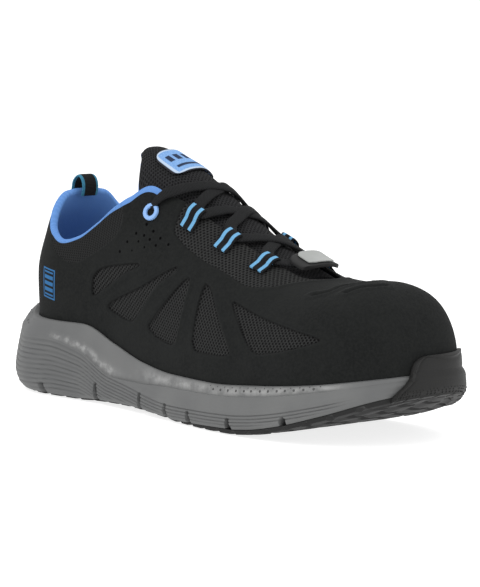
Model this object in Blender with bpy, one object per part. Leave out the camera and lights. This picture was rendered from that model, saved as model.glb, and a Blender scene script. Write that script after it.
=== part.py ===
# A right safety sneaker, toe towards +X, standing on its sole, built from the sections of its last.
# Metres, +Z up. The lateral side is -Y, the medial side +Y.
# The last's skin is a run of superelliptic sections between the midsole's rim and the ridge over the foot.

from collections import namedtuple
from math import pi, radians

import bmesh
import bpy
import numpy as np
from mathutils import Matrix, Vector

MM = 0.001

# Driving dimensions of the last
UPPER_LENGTH = 0.286
BALL_WIDTH = 0.1028
HEEL_WIDTH = 0.0682
TOE_HEIGHT = 0.083
INSTEP_RISE = 0.049
TOE_SWING = 0.010
HEEL_LEAN = 0.019
COLLAR_HEIGHT = 0.112
THROAT_HALF_WIDTH = 0.028

# Driving dimensions of the sole
RIM_HEIGHT = 0.049
SOLE_FLARE = 0.0105
TOE_SPRING = 0.025
FOOTBED_HEIGHT = 0.030
OUTSOLE_THICKNESS = 0.0035
OUTSOLE_INSET = 0.003
LUG_SHARE = 0.55
RIB_DEPTH = 0.0004
STEP_DEPTH = 0.0012
NOTCH_DEPTH = 0.009
NOTCH_WIDTH = 0.0036
NOTCH_REACH = 0.008
NOTCH_TAPER = 0.42
GROOVE_PITCH = 0.0118
GROOVE_WIDTH = 0.0032
GROOVE_TAPER = 0.8
BUMPER_THICKNESS = 0.0022
BUMPER_HEIGHT = 0.0475
BUMPER_TUCK = 0.006
BUMPER_CLEAR = 0.0004
LIP_ROUND = 0.0004
CUT_PAST = 0.001

# Walls and soft parts
WALL = 0.0024
COLLAR_PAD = 0.0045
GAP = 0.0003
WINDOW_DEPTH = 0.0009
INSOLE_THICKNESS = 0.0035
INSOLE_ROUND = 0.0008
TONGUE_THICKNESS = 0.0055
TONGUE_HALF_WIDTH = 0.029
TONGUE_RISE = 0.007
TONGUE_LEAN = 0.0035
TONGUE_EDGE = 0.55
LACE_WIDTH = 0.0065
LACE_THICKNESS = 0.0016
LACE_LIFT = 0.0008
LACE_SAG = 0.0019
BAR_HEIGHT = 0.0005
BAR_INSET = 0.002
LOOP_WIDTH = 0.0105
LOOP_LENGTH = 0.0115
LOOP_RISE = 0.0026
LOOP_THICKNESS = 0.0011
LOOP_SEAT = 0.0005
EYELET_RADIUS = 0.0049
EYELET_HOLE = 0.0026
EYELET_HEIGHT = 0.0012
EYELET_SEAT = 0.00066
PULL_WIDTH = 0.014
PULL_THICKNESS = 0.0015
PULL_RISE = 0.0075
PULL_TAIL = 0.016
PULL_INSIDE = 0.010
KEEPER_SPAN = 0.026
KEEPER_LENGTH = 0.0145
KEEPER_THICKNESS = 0.0024
KEEPER_ARCH = 0.0010
PLATE_MARGIN = 0.0022
PLATE_THICKNESS = 0.0008
BADGE_LENGTH = 0.020
BADGE_WIDTH = 0.032
BADGE_THICKNESS = 0.0009

# Places along the foot, as shares of the upper's length from the heel
HEEL_CAP = 0.13
TOE_CAP = 0.80
TOE_POWER = 2.4
RIDGE_CAP = 0.86
RIDGE_POWER = 2.3
CORNER_AT = 0.400
THROAT_AT = 0.700
CORNER_BLEND = 0.075
LOOP_AT = (0.476, 0.562, 0.652)
LACE_STAGGER = 0.012
KEEPER_AT = 0.698
BADGE_AT = 0.362
EYELET_AT = 0.386
EYELET_LEVEL = 0.80
CROSS_AT = 0.416
BUMPER_TURN = 101.0

PlanRow = namedtuple("PlanRow", "at centre lateral medial")
PLAN = [
    PlanRow(at=0.00, centre=0.00, lateral=0.970, medial=0.970),
    PlanRow(at=0.14, centre=0.00, lateral=1.020, medial=1.000),
    PlanRow(at=0.28, centre=0.10, lateral=1.050, medial=0.890),
    PlanRow(at=0.42, centre=0.32, lateral=1.080, medial=0.760),
    PlanRow(at=0.55, centre=0.46, lateral=1.090, medial=0.770),
    PlanRow(at=0.66, centre=0.56, lateral=1.100, medial=0.830),
    PlanRow(at=0.74, centre=0.63, lateral=1.100, medial=0.870),
    PlanRow(at=0.82, centre=0.70, lateral=1.080, medial=0.900),
    PlanRow(at=0.90, centre=0.80, lateral=1.045, medial=0.880),
    PlanRow(at=1.00, centre=0.95, lateral=1.000, medial=0.850),
]

RidgeRow = namedtuple("RidgeRow", "at rise squareness")
RIDGE = [
    RidgeRow(at=0.00, rise=1.60, squareness=2.80),
    RidgeRow(at=0.18, rise=1.60, squareness=2.80),
    RidgeRow(at=0.26, rise=1.48, squareness=2.75),
    RidgeRow(at=0.32, rise=1.28, squareness=2.65),
    RidgeRow(at=0.38, rise=1.05, squareness=2.50),
    RidgeRow(at=0.45, rise=0.78, squareness=2.35),
    RidgeRow(at=0.52, rise=0.53, squareness=2.25),
    RidgeRow(at=0.60, rise=0.27, squareness=2.25),
    RidgeRow(at=0.68, rise=0.07, squareness=2.30),
    RidgeRow(at=0.74, rise=-0.04, squareness=2.40),
    RidgeRow(at=0.80, rise=-0.06, squareness=2.50),
    RidgeRow(at=0.88, rise=-0.02, squareness=2.60),
    RidgeRow(at=1.00, rise=0.00, squareness=2.60),
]

# Heights of the midsole's rim, the footbed and the swoop step, and the sole's flare
SoleRow = namedtuple("SoleRow", "at rim footbed flare swoop")
SOLE = [
    SoleRow(at=0.00, rim=1.00, footbed=1.00, flare=1.34, swoop=0.74),
    SoleRow(at=0.05, rim=0.86, footbed=1.00, flare=1.26, swoop=0.76),
    SoleRow(at=0.14, rim=0.86, footbed=0.98, flare=0.92, swoop=0.78),
    SoleRow(at=0.22, rim=0.87, footbed=0.92, flare=0.62, swoop=0.66),
    SoleRow(at=0.32, rim=0.71, footbed=0.80, flare=0.48, swoop=0.45),
    SoleRow(at=0.42, rim=0.57, footbed=0.69, flare=0.43, swoop=0.56),
    SoleRow(at=0.52, rim=0.52, footbed=0.62, flare=0.43, swoop=0.72),
    SoleRow(at=0.64, rim=0.52, footbed=0.58, flare=0.43, swoop=0.75),
    SoleRow(at=0.76, rim=0.57, footbed=0.64, flare=0.44, swoop=0.76),
    SoleRow(at=0.88, rim=0.65, footbed=0.82, flare=0.38, swoop=0.78),
    SoleRow(at=1.00, rim=0.77, footbed=1.05, flare=0.12, swoop=0.78),
]

# Lift of the sole's underside above the floor, as a share of the toe spring
LiftRow = namedtuple("LiftRow", "at lift")
LIFT = [
    LiftRow(at=-0.04, lift=0.30),
    LiftRow(at=-0.01, lift=0.11),
    LiftRow(at=0.06, lift=0.00),
    LiftRow(at=0.22, lift=0.00),
    LiftRow(at=0.26, lift=0.03),
    LiftRow(at=0.38, lift=0.07),
    LiftRow(at=0.50, lift=0.03),
    LiftRow(at=0.54, lift=0.00),
    LiftRow(at=0.70, lift=0.00),
    LiftRow(at=0.74, lift=0.04),
    LiftRow(at=0.80, lift=0.17),
    LiftRow(at=0.90, lift=0.52),
    LiftRow(at=1.00, lift=1.00),
    LiftRow(at=1.02, lift=1.08),
]

# Collar line, as a share of the collar's height
CollarRow = namedtuple("CollarRow", "at height")
COLLAR = [
    CollarRow(at=0.000, height=1.00),
    CollarRow(at=0.015, height=0.99),
    CollarRow(at=0.045, height=0.92),
    CollarRow(at=0.090, height=0.815),
    CollarRow(at=0.140, height=0.765),
    CollarRow(at=0.190, height=0.795),
    CollarRow(at=0.240, height=0.870),
    CollarRow(at=0.290, height=0.965),
    CollarRow(at=0.330, height=1.025),
    CollarRow(at=0.365, height=1.060),
    CollarRow(at=0.400, height=1.065),
]

# Half width of the throat's opening
ThroatRow = namedtuple("ThroatRow", "at half_width")
THROAT = [
    ThroatRow(at=0.400, half_width=0.93),
    ThroatRow(at=0.440, half_width=0.83),
    ThroatRow(at=0.520, half_width=0.73),
    ThroatRow(at=0.700, half_width=0.56),
]

# Lean of the heel's back line over its height
LeanRow = namedtuple("LeanRow", "height lean")
LEAN = [
    LeanRow(height=0.00, lean=0.13),
    LeanRow(height=0.35, lean=0.00),
    LeanRow(height=0.70, lean=0.45),
    LeanRow(height=1.00, lean=1.00),
]

# Side profile of the midsole: share of its height and of its flare
SideRow = namedtuple("SideRow", "height flare")
SIDE_BELOW = [
    SideRow(height=0.00, flare=0.62),
    SideRow(height=0.10, flare=0.86),
    SideRow(height=0.30, flare=1.00),
    SideRow(height=0.60, flare=0.92),
    SideRow(height=1.00, flare=0.74),
]
SIDE_ABOVE = [
    SideRow(height=0.00, flare=0.82),
    SideRow(height=0.40, flare=0.62),
    SideRow(height=0.80, flare=0.36),
    SideRow(height=1.00, flare=0.20),
]
RIB_COUNT = 3

# Corners of the recessed mesh windows: share of the foot's length, share of the rise from rim to ridge
WindowRow = namedtuple("WindowRow", "low_back low_front high_back high_front")
WINDOWS = [
    WindowRow(low_back=(0.246, 0.12), low_front=(0.370, 0.39), high_back=(0.249, 0.28), high_front=(0.377, 0.48)),
    WindowRow(low_back=(0.299, 0.13), low_front=(0.370, 0.18), high_back=(0.313, 0.20), high_front=(0.478, 0.61)),
    WindowRow(low_back=(0.427, 0.17), low_front=(0.516, 0.20), high_back=(0.452, 0.30), high_front=(0.530, 0.64)),
    WindowRow(low_back=(0.577, 0.19), low_front=(0.683, 0.27), high_back=(0.569, 0.62), high_front=(0.584, 0.66)),
    WindowRow(low_back=(0.719, 0.33), low_front=(0.850, 0.35), high_back=(0.644, 0.65), high_front=(0.879, 0.54)),
]

# Flex notches in the midsole's lower edge: share of the length and of the notch's full depth
NotchRow = namedtuple("NotchRow", "at depth")
NOTCHES = [
    NotchRow(at=0.134, depth=0.62),
    NotchRow(at=0.280, depth=1.00),
    NotchRow(at=0.425, depth=0.95),
    NotchRow(at=0.514, depth=0.80),
    NotchRow(at=0.588, depth=0.66),
    NotchRow(at=0.697, depth=0.60),
    NotchRow(at=0.828, depth=0.45),
]

# Half width of the tongue along the foot, its thickness, its crown, and how far its padded tip bends down
TongueRow = namedtuple("TongueRow", "at half_width thickness rise drop")
TONGUE = [
    TongueRow(at=0.288, half_width=0.66, thickness=0.75, rise=0.26, drop=1.60),
    TongueRow(at=0.296, half_width=0.86, thickness=1.10, rise=0.28, drop=1.18),
    TongueRow(at=0.316, half_width=0.96, thickness=1.30, rise=0.30, drop=0.72),
    TongueRow(at=0.345, half_width=0.99, thickness=1.25, rise=0.28, drop=0.38),
    TongueRow(at=0.395, half_width=0.99, thickness=1.00, rise=0.27, drop=0.00),
    TongueRow(at=0.440, half_width=0.93, thickness=0.85, rise=0.22, drop=0.00),
    TongueRow(at=0.480, half_width=0.86, thickness=0.75, rise=0.20, drop=0.00),
    TongueRow(at=0.600, half_width=0.74, thickness=0.60, rise=0.18, drop=0.00),
    TongueRow(at=0.715, half_width=0.68, thickness=0.50, rise=0.00, drop=0.00),
]

# Course of a lace loop's webbing: shares of the loop's length past the throat's edge and of its height
LoopRow = namedtuple("LoopRow", "past rise")
LOOP_COURSE = [
    LoopRow(past=-0.80, rise=0.04),
    LoopRow(past=-0.66, rise=0.04),
    LoopRow(past=-0.52, rise=0.04),
    LoopRow(past=-0.38, rise=0.08),
    LoopRow(past=-0.14, rise=0.60),
    LoopRow(past=0.10, rise=1.00),
    LoopRow(past=0.30, rise=0.92),
    LoopRow(past=0.38, rise=0.52),
    LoopRow(past=0.28, rise=0.14),
    LoopRow(past=0.02, rise=0.08),
]

# Profile of the toe bumper: level on the midsole's side (0 to 1), then on the upper (1 to 2), and half turn
BumperRow = namedtuple("BumperRow", "level half_turn thickness")
BUMPER = [
    BumperRow(level=0.00, half_turn=27.0, thickness=0.70),
    BumperRow(level=0.06, half_turn=26.6, thickness=0.80),
    BumperRow(level=0.18, half_turn=25.6, thickness=0.95),
    BumperRow(level=0.50, half_turn=22.8, thickness=1.00),
    BumperRow(level=0.76, half_turn=21.2, thickness=1.00),
    BumperRow(level=0.85, half_turn=20.6, thickness=1.00),
    BumperRow(level=1.00, half_turn=20.0, thickness=1.00),
    BumperRow(level=1.30, half_turn=19.4, thickness=1.00),
    BumperRow(level=1.65, half_turn=18.2, thickness=0.90),
    BumperRow(level=1.90, half_turn=15.6, thickness=0.65),
    BumperRow(level=2.00, half_turn=13.0, thickness=0.30),
]

ANKLE_STATIONS = 6
SIDE_STATIONS = 15
FAN_STATIONS = 24
WALL_ROWS = 9
BUMPER_STATIONS = 9
EYELET_STATIONS = 13


def curve(rows, column, at, key="at"):
    """Monotone cubic through one column of a table."""
    xs = np.array([getattr(row, key) for row in rows], float)
    ys = np.array([getattr(row, column) for row in rows], float)
    at = np.clip(np.asarray(at, float), xs[0], xs[-1])
    step = np.diff(xs)
    slope = np.diff(ys) / step
    tangent = np.zeros_like(ys)
    for i in range(1, len(xs) - 1):
        if slope[i - 1] * slope[i] > 0:
            back = 2 * step[i] + step[i - 1]
            fore = step[i] + 2 * step[i - 1]
            tangent[i] = (back + fore) / (back / slope[i - 1] + fore / slope[i])
    tangent[0] = slope[0]
    tangent[-1] = slope[-1]
    k = np.clip(np.searchsorted(xs, at, side="right") - 1, 0, len(xs) - 2)
    t = (at - xs[k]) / step[k]
    first = (2 * t**3 - 3 * t**2 + 1) * ys[k] + (t**3 - 2 * t**2 + t) * step[k] * tangent[k]
    return first + (3 * t**2 - 2 * t**3) * ys[k + 1] + (t**3 - t**2) * step[k] * tangent[k + 1]


def ease(low, high, value):
    share = np.clip((value - low) / (high - low), 0.0, 1.0)
    return share * share * (3.0 - 2.0 * share)


def round_off(at, start, end, power):
    """Falls from 1 at start to 0 at end along a superellipse."""
    share = np.clip((at - start) / (end - start), 0.0, 1.0)
    return np.clip(1.0 - share**power, 0.0, 1.0) ** (1.0 / power)


def half_width(at, side):
    at = np.clip(at, 0.0, 1.0)
    grown = 0.5 * (HEEL_WIDTH + (BALL_WIDTH - HEEL_WIDTH) * ease(0.22, 0.68, at))
    share = np.where(np.asarray(side) < 0, curve(PLAN, "lateral", at), curve(PLAN, "medial", at))
    return grown * share * round_off(at, HEEL_CAP, 0.0, 2.0) * round_off(at, TOE_CAP, 1.0, TOE_POWER)


def centre(at):
    return SIDE_SHIFT + TOE_SWING * curve(PLAN, "centre", at)


def rim(at):
    return RIM_HEIGHT * curve(SOLE, "rim", at)


def footbed(at):
    return FOOTBED_HEIGHT * curve(SOLE, "footbed", at)


def seat(at):
    """Where the upper and the insole stand on the footbed."""
    return footbed(at) + GAP


def lift(at):
    return TOE_SPRING * curve(LIFT, "lift", at)


def ridge(at):
    top = TOE_HEIGHT + INSTEP_RISE * curve(RIDGE, "rise", at)
    return rim(at) + np.maximum(top - rim(at), 1e-6) * round_off(at, RIDGE_CAP, 1.0, RIDGE_POWER)


def squareness(at):
    return curve(RIDGE, "squareness", at)


def lean(at, z):
    height = np.clip((z - rim(at)) / (COLLAR_HEIGHT - rim(at)), 0.0, 1.0)
    return HEEL_LEAN * curve(LEAN, "lean", height, "height") * np.clip(1.0 - at / 0.30, 0.0, 1.0) ** 2


def along(at):
    return HEEL_X + UPPER_LENGTH * at


def at_height(at, z, side):
    """Point of the last's skin on one side, at a height above the floor."""
    rise = np.maximum(ridge(at) - rim(at), 1e-6)
    share = np.clip((z - rim(at)) / rise, 0.0, 1.0)
    n = squareness(at)
    y = centre(at) + side * half_width(at, side) * (1.0 - share**n) ** (1.0 / n)
    return np.stack(np.broadcast_arrays(along(at) + lean(at, z), y, z), -1)


def at_width(at, across):
    """Point of the last's skin at a signed distance from its centre line."""
    side = np.where(across < 0, -1.0, 1.0)
    share = np.clip(np.abs(across) / np.maximum(half_width(at, side), 1e-6), 0.0, 1.0)
    n = squareness(at)
    z = rim(at) + (ridge(at) - rim(at)) * (1.0 - share**n) ** (1.0 / n)
    return np.stack(np.broadcast_arrays(along(at) + lean(at, z), centre(at) + across, z), -1)


def plan_normals(ring):
    """Outward normals in plan of a closed ring of points that runs lateral side first."""
    step = np.roll(ring, -1, 0) - np.roll(ring, 1, 0)
    normal = np.stack([step[:, 1], -step[:, 0]], -1)
    return normal / np.linalg.norm(normal, axis=1)[:, None]


def lateral_stations():
    """Shares of the length for one side's stations, from the heel's back to the throat's front."""
    angle = np.linspace(0.0, pi / 2, ANKLE_STATIONS + 1)
    heel = HEEL_CAP * (1.0 - np.cos(angle))
    side = np.linspace(HEEL_CAP, THROAT_AT, SIDE_STATIONS + 1)
    return np.concatenate([heel, side[1:]])


def toe_reach(direction):
    """Distance from the throat's front to the rim's outline along a ray in plan."""
    start = np.array([along(THROAT_AT), centre(THROAT_AT)])
    low = 0.0
    high = UPPER_LENGTH
    for _ in range(40):
        reach = 0.5 * (low + high)
        x, y = start + reach * direction
        at = (x - HEEL_X) / UPPER_LENGTH
        side = -1.0 if y < centre(min(at, 1.0)) else 1.0
        inside = at < 1.0 and abs(y - centre(at)) < half_width(at, side)
        low, high = (reach, high) if inside else (low, reach)
    return low


def throat_edge(at):
    return THROAT_HALF_WIDTH * curve(THROAT, "half_width", at)


def edge_angle(at, side):
    """Section angle at which the upper ends, at the collar or beside the throat."""
    n = squareness(at)
    rise = (COLLAR_HEIGHT * curve(COLLAR, "height", at) - rim(at)) / (ridge(at) - rim(at))
    collar = np.arcsin(np.clip(rise, 0.0, 1.0) ** (n / 2.0))
    share = throat_edge(at) / np.maximum(half_width(at, side), MM)
    throat = np.arccos(np.clip(share, 0.0, 1.0) ** (n / 2.0))
    return collar + (throat - collar) * ease(CORNER_AT - CORNER_BLEND, CORNER_AT, at)


def side_column(at, side, levels):
    """Points of one half section from the rim up to the upper's edge."""
    n = squareness(at)
    angle = edge_angle(at, side) * levels
    z = rim(at) + (ridge(at) - rim(at)) * np.sin(angle) ** (2.0 / n)
    y = centre(at) + side * half_width(at, side) * np.cos(angle) ** (2.0 / n)
    return np.stack([along(at) + lean(at, z), y, z], -1)


def fan_column(turn, levels):
    """Points along a ray over the toe, from the rim back to the throat's front."""
    direction = np.array([np.sin(turn), -np.cos(turn)])
    reach = toe_reach(direction)
    n = squareness(THROAT_AT)
    radius = THROAT_HALF_WIDTH * THROAT[-1].half_width
    angle = np.arccos((radius / reach) ** (n / 2.0)) * levels
    distance = reach * np.cos(angle) ** (2.0 / n)
    x = along(THROAT_AT) + distance * direction[0]
    at = np.clip((x - HEEL_X) / UPPER_LENGTH, 0.0, 1.0)
    across = centre(THROAT_AT) + distance * direction[1] - centre(at)
    points = at_width(at, across)
    points[0, 2] = rim(at[0])
    return points


def upper_columns(levels):
    """The upper's outer skin: stations round the foot, each a column from rim to edge."""
    ats = lateral_stations()
    lateral = [side_column(at, -1.0, levels) for at in ats]
    turns = np.linspace(0.0, pi, FAN_STATIONS + 1)[1:-1]
    fan = [fan_column(turn, levels) for turn in turns]
    medial = [side_column(at, 1.0, levels) for at in ats[:0:-1]]
    return np.array(lateral + fan + medial)


def rim_ring():
    return upper_columns(np.array([0.0]))[:, 0]


def shares_of(ring):
    return (ring[:, 0] - HEEL_X) / UPPER_LENGTH


def offset_ring(ring, normals, distance, height):
    """The ring moved outwards in plan, its height a function of the share of the length."""
    points = ring.copy()
    points[:, :2] += normals * np.broadcast_to(distance, len(ring))[:, None]
    points[:, 2] = height(shares_of(points))
    return points


def skin_normals(grid, ring_closed=True):
    """Outward normals of a grid of points, from the neighbours of each."""
    if ring_closed:
        round_step = np.roll(grid, -1, 0) - np.roll(grid, 1, 0)
    else:
        round_step = np.gradient(grid, axis=0)
    up_step = np.gradient(grid, axis=1)
    normal = np.cross(round_step, up_step)
    return normal / np.maximum(np.linalg.norm(normal, axis=2), 1e-12)[..., None]


def new_mesh_object(name, points, faces, material, smooth=True):
    mesh = bpy.data.meshes.new(name)
    mesh.from_pydata([tuple(point) for point in points], [], faces)
    solid = bmesh.new()
    solid.from_mesh(mesh)
    bmesh.ops.remove_doubles(solid, verts=solid.verts, dist=1e-6)
    bmesh.ops.dissolve_degenerate(solid, edges=solid.edges, dist=1e-6)
    bmesh.ops.triangulate(solid, faces=solid.faces)
    bmesh.ops.recalc_face_normals(solid, faces=solid.faces)
    solid.to_mesh(mesh)
    solid.free()
    if smooth:
        mesh.shade_smooth()
        mesh.set_sharp_from_angle(angle=radians(35))
    mesh.materials.append(material)
    piece = bpy.data.objects.new(name, mesh)
    SHOE.objects.link(piece)
    return piece


def ring_solid(name, rings, material):
    """A closed solid through a stack of rings, its first and last ring closed from side to side."""
    rings = np.array(rings)
    count = rings.shape[1]
    half = count // 2
    faces = []
    for level in range(len(rings) - 1):
        for i in range(count):
            j = (i + 1) % count
            below = level * count
            above = below + count
            faces.append((below + i, below + j, above + j, above + i))
    for base in (0, (len(rings) - 1) * count):
        faces.append((base, base + 1, base + count - 1))
        for i in range(1, half - 1):
            faces.append((base + i, base + i + 1, base + count - i - 1, base + count - i))
        faces.append((base + half - 1, base + half, base + half + 1))
    return new_mesh_object(name, rings.reshape(-1, 3), faces, material)


def sheet_solid(name, outer, inner, material):
    """A closed solid between two grids of points that share their rows and columns."""
    rows, columns = outer.shape[:2]
    size = rows * columns
    faces = []
    for i in range(rows - 1):
        for j in range(columns - 1):
            a = i * columns + j
            faces.append((a, a + 1, a + columns + 1, a + columns))
            faces.append((size + a, size + a + columns, size + a + columns + 1, size + a + 1))
    border = [(0, j) for j in range(columns)]
    border += [(i, columns - 1) for i in range(1, rows)]
    border += [(rows - 1, j) for j in range(columns - 2, -1, -1)]
    border += [(i, 0) for i in range(rows - 2, 0, -1)]
    for k, (i, j) in enumerate(border):
        m, n = border[(k + 1) % len(border)]
        a = i * columns + j
        b = m * columns + n
        faces.append((a, b, size + b, size + a))
    points = np.concatenate([outer.reshape(-1, 3), inner.reshape(-1, 3)])
    return new_mesh_object(name, points, faces, material)


def add_boolean(piece, cutter, operation="DIFFERENCE"):
    change = piece.modifiers.new(cutter.name, "BOOLEAN")
    change.operation = operation
    change.solver = "EXACT"
    change.object = cutter
    for collection in list(cutter.users_collection):
        collection.objects.unlink(cutter)
    CUTTERS.objects.link(cutter)
    cutter.hide_render = True
    cutter.display_type = "WIRE"


def finish(name, colour, roughness, metallic=0.0):
    material = bpy.data.materials.new(name)
    material.use_nodes = True
    shader = material.node_tree.nodes["Principled BSDF"]
    shader.inputs["Base Color"].default_value = (*colour, 1.0)
    shader.inputs["Roughness"].default_value = roughness
    shader.inputs["Metallic"].default_value = metallic
    return material


def wall_thickness(columns):
    """Wall of the upper, thicker towards the padded collar."""
    ats = np.clip((columns[:, :, 0] - HEEL_X) / UPPER_LENGTH, 0.0, 1.0)
    level = np.linspace(0.0, 1.0, columns.shape[1])[None, :]
    padded = 1.0 - ease(CORNER_AT - 0.06, CORNER_AT + 0.02, ats)
    return WALL + (COLLAR_PAD - WALL) * padded * ease(0.45, 0.85, level)


def make_upper(material):
    levels = np.linspace(0.0, 1.0, WALL_ROWS)
    outer = upper_columns(levels)
    normals = skin_normals(outer)
    inner = outer - normals * wall_thickness(outer)[..., None]
    ring = outer[:, 0]
    plan = plan_normals(ring)
    low_outer = offset_ring(ring, plan, 0.0, seat)
    rim_inner = offset_ring(ring, plan, -WALL, rim)
    low_inner = offset_ring(ring, plan, -WALL, seat)
    inner[:, 0] = rim_inner
    edge_rise = outer[:, -1] - outer[:, -2]
    edge_rise /= np.linalg.norm(edge_rise, axis=1)[:, None]
    thickness = wall_thickness(outer)[:, -1]
    crown = 0.5 * (outer[:, -1] + inner[:, -1]) + edge_rise * (0.42 * thickness)[:, None]
    outer_rings = [low_outer] + [outer[:, j] for j in range(WALL_ROWS)]
    inner_rings = [inner[:, j] for j in range(WALL_ROWS - 1, -1, -1)] + [low_inner]
    rings = np.array(outer_rings + [crown] + inner_rings)
    count = rings.shape[1]
    faces = []
    total = len(rings)
    for level in range(total):
        below = level * count
        above = ((level + 1) % total) * count
        for i in range(count):
            j = (i + 1) % count
            faces.append((below + i, below + j, above + j, above + i))
    return new_mesh_object("upper", rings.reshape(-1, 3), faces, material)


def swoop(at):
    """Level of the step along the midsole's side, as a share of its height."""
    return curve(SOLE, "swoop", at)


def side_offset(at, share):
    """How far the midsole's side stands out from the last, over a share of its height."""
    step = swoop(at)
    flare = SOLE_FLARE * curve(SOLE, "flare", at)
    below = curve(SIDE_BELOW, "flare", np.clip(share / step, 0.0, 1.0), "height")
    above = curve(SIDE_ABOVE, "flare", np.clip((share - step) / (1.0 - step), 0.0, 1.0), "height")
    return np.where(share < step, flare * below, flare * above)


def midsole_base(at):
    """Height of the midsole's lower edge."""
    return lift(at) + OUTSOLE_THICKNESS * (0.45 + 0.55 * ease(0.45, 0.75, at))


def side_height(share):
    """Height of a level of the midsole's side, as a function of the share of the length."""
    return lambda at: midsole_base(at) + (rim(at) - midsole_base(at)) * share(at)


def midsole_side_rings(ring, plan, ats):
    ribless = 1.0 - ease(0.86, 0.92, ats)
    rings = []

    def add_ring(share, sunk):
        distance = side_offset(ats, share(ats)) - sunk
        rings.append(offset_ring(ring, plan, distance, side_height(share)))

    for level in (0.0, 0.06):
        add_ring(lambda at, level=level: level * swoop(at), 0.0)
    for k in range(2 * RIB_COUNT + 1):
        level = 0.16 + 0.76 * k / (2 * RIB_COUNT)
        add_ring(lambda at, level=level: level * swoop(at), RIB_DEPTH * (k % 2) * ribless)
    add_ring(lambda at: 0.98 * swoop(at), 0.0)
    for level in (0.03, 0.35, 0.70, 0.93):
        add_ring(lambda at, level=level: swoop(at) + (1.0 - swoop(at)) * level, STEP_DEPTH * ribless * (1.0 - level))
    return rings


def make_midsole(material):
    ring = rim_ring()
    plan = plan_normals(ring)
    ats = shares_of(ring)
    rings = midsole_side_rings(ring, plan, ats)
    lip = SOLE_FLARE * curve(SOLE, "flare", ats) * SIDE_ABOVE[-1].flare
    rings.append(offset_ring(ring, plan, lip + LIP_ROUND, lambda at: rim(at) - 0.25 * LIP_ROUND))
    rings.append(offset_ring(ring, plan, GAP, rim))
    rings.append(offset_ring(ring, plan, GAP, footbed))
    return ring_solid("midsole", rings, material)


def make_insole(material):
    ring = rim_ring()
    plan = plan_normals(ring)
    inset = -(WALL + 2 * GAP)
    top = INSOLE_THICKNESS - INSOLE_ROUND
    rings = [
        offset_ring(ring, plan, inset - INSOLE_ROUND, seat),
        offset_ring(ring, plan, inset, lambda at: seat(at) + INSOLE_ROUND),
        offset_ring(ring, plan, inset, lambda at: seat(at) + top),
        offset_ring(ring, plan, inset - INSOLE_ROUND, lambda at: seat(at) + INSOLE_THICKNESS),
    ]
    return ring_solid("insole", rings, material)


def make_outsole(material):
    ring = rim_ring()
    plan = plan_normals(ring)
    ats = shares_of(ring)
    inset = OUTSOLE_INSET * (1.0 - ease(0.50, 0.70, ats))
    reach = SOLE_FLARE * curve(SOLE, "flare", ats) * SIDE_BELOW[0].flare - inset
    rings = [
        offset_ring(ring, plan, reach - 0.3 * OUTSOLE_THICKNESS, lift),
        offset_ring(ring, plan, reach, lambda at: lift(at) + 0.3 * OUTSOLE_THICKNESS),
        offset_ring(ring, plan, reach, lambda at: midsole_base(at) - GAP),
    ]
    return ring_solid("outsole", rings, material)


def frame_shift():
    """Centres the sole's outline, with the bumper at its toe, on the origin."""
    ring = rim_ring()
    plan = plan_normals(ring)
    ats = shares_of(ring)
    widest = offset_ring(ring, plan, SOLE_FLARE * curve(SOLE, "flare", ats), lift)
    outline = np.concatenate([widest, bumper_grids()[0].reshape(-1, 3)])
    return 0.5 * (outline.min(axis=0) + outline.max(axis=0))


def skin_normal(at, across):
    """Outward normal of the last's skin in the chart of length and distance from the centre line."""
    step = 0.4 * MM
    along_step = at_width(at + step / UPPER_LENGTH, across) - at_width(at - step / UPPER_LENGTH, across)
    across_step = at_width(at, across + step) - at_width(at, across - step)
    normal = np.cross(along_step, across_step)
    return normal / np.linalg.norm(normal, axis=-1)[..., None]


def lifted(at, across, height):
    """Point at a height over the last's skin."""
    at, across, height = np.broadcast_arrays(at, across, height)
    return at_width(at, across) + skin_normal(at, across) * height[..., None]


def side_patch(corners, side, count):
    """Grid of points on one side of the skin between four corners, with its outward normals."""
    u, v = np.meshgrid(np.linspace(0.0, 1.0, count), np.linspace(0.0, 1.0, count), indexing="ij")
    low = [corners.low_back[k] * (1 - u) + corners.low_front[k] * u for k in (0, 1)]
    high = [corners.high_back[k] * (1 - u) + corners.high_front[k] * u for k in (0, 1)]
    at = low[0] * (1 - v) + high[0] * v
    share = low[1] * (1 - v) + high[1] * v
    points = at_height(at, rim(at) + share * (ridge(at) - rim(at)), side)
    normals = skin_normals(points, ring_closed=False)
    return points, normals * np.sign(normals[..., 1:2] * side)


def cut_windows(upper):
    for side in (-1.0, 1.0):
        for k, corners in enumerate(WINDOWS):
            points, normals = side_patch(corners, side, 4)
            outer = points + normals * 2.0 * WALL
            inner = points - normals * WINDOW_DEPTH
            name = "window_cutter_%s_%d" % ("lateral" if side < 0 else "medial", k + 1)
            add_boolean(upper, sheet_solid(name, outer, inner, BLACK_NUBUCK))


def wedge(name, width, length, height, taper):
    """A block that narrows upwards, its base centred on the origin."""
    mesh = bpy.data.meshes.new(name)
    block = bmesh.new()
    bmesh.ops.create_cube(block, size=1.0)
    for vert in block.verts:
        share = taper if vert.co.z > 0 else 1.0
        vert.co = Vector((vert.co.x * width * share, vert.co.y * length, (vert.co.z + 0.5) * height))
    block.to_mesh(mesh)
    block.free()
    piece = bpy.data.objects.new(name, mesh)
    SHOE.objects.link(piece)
    return piece


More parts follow.
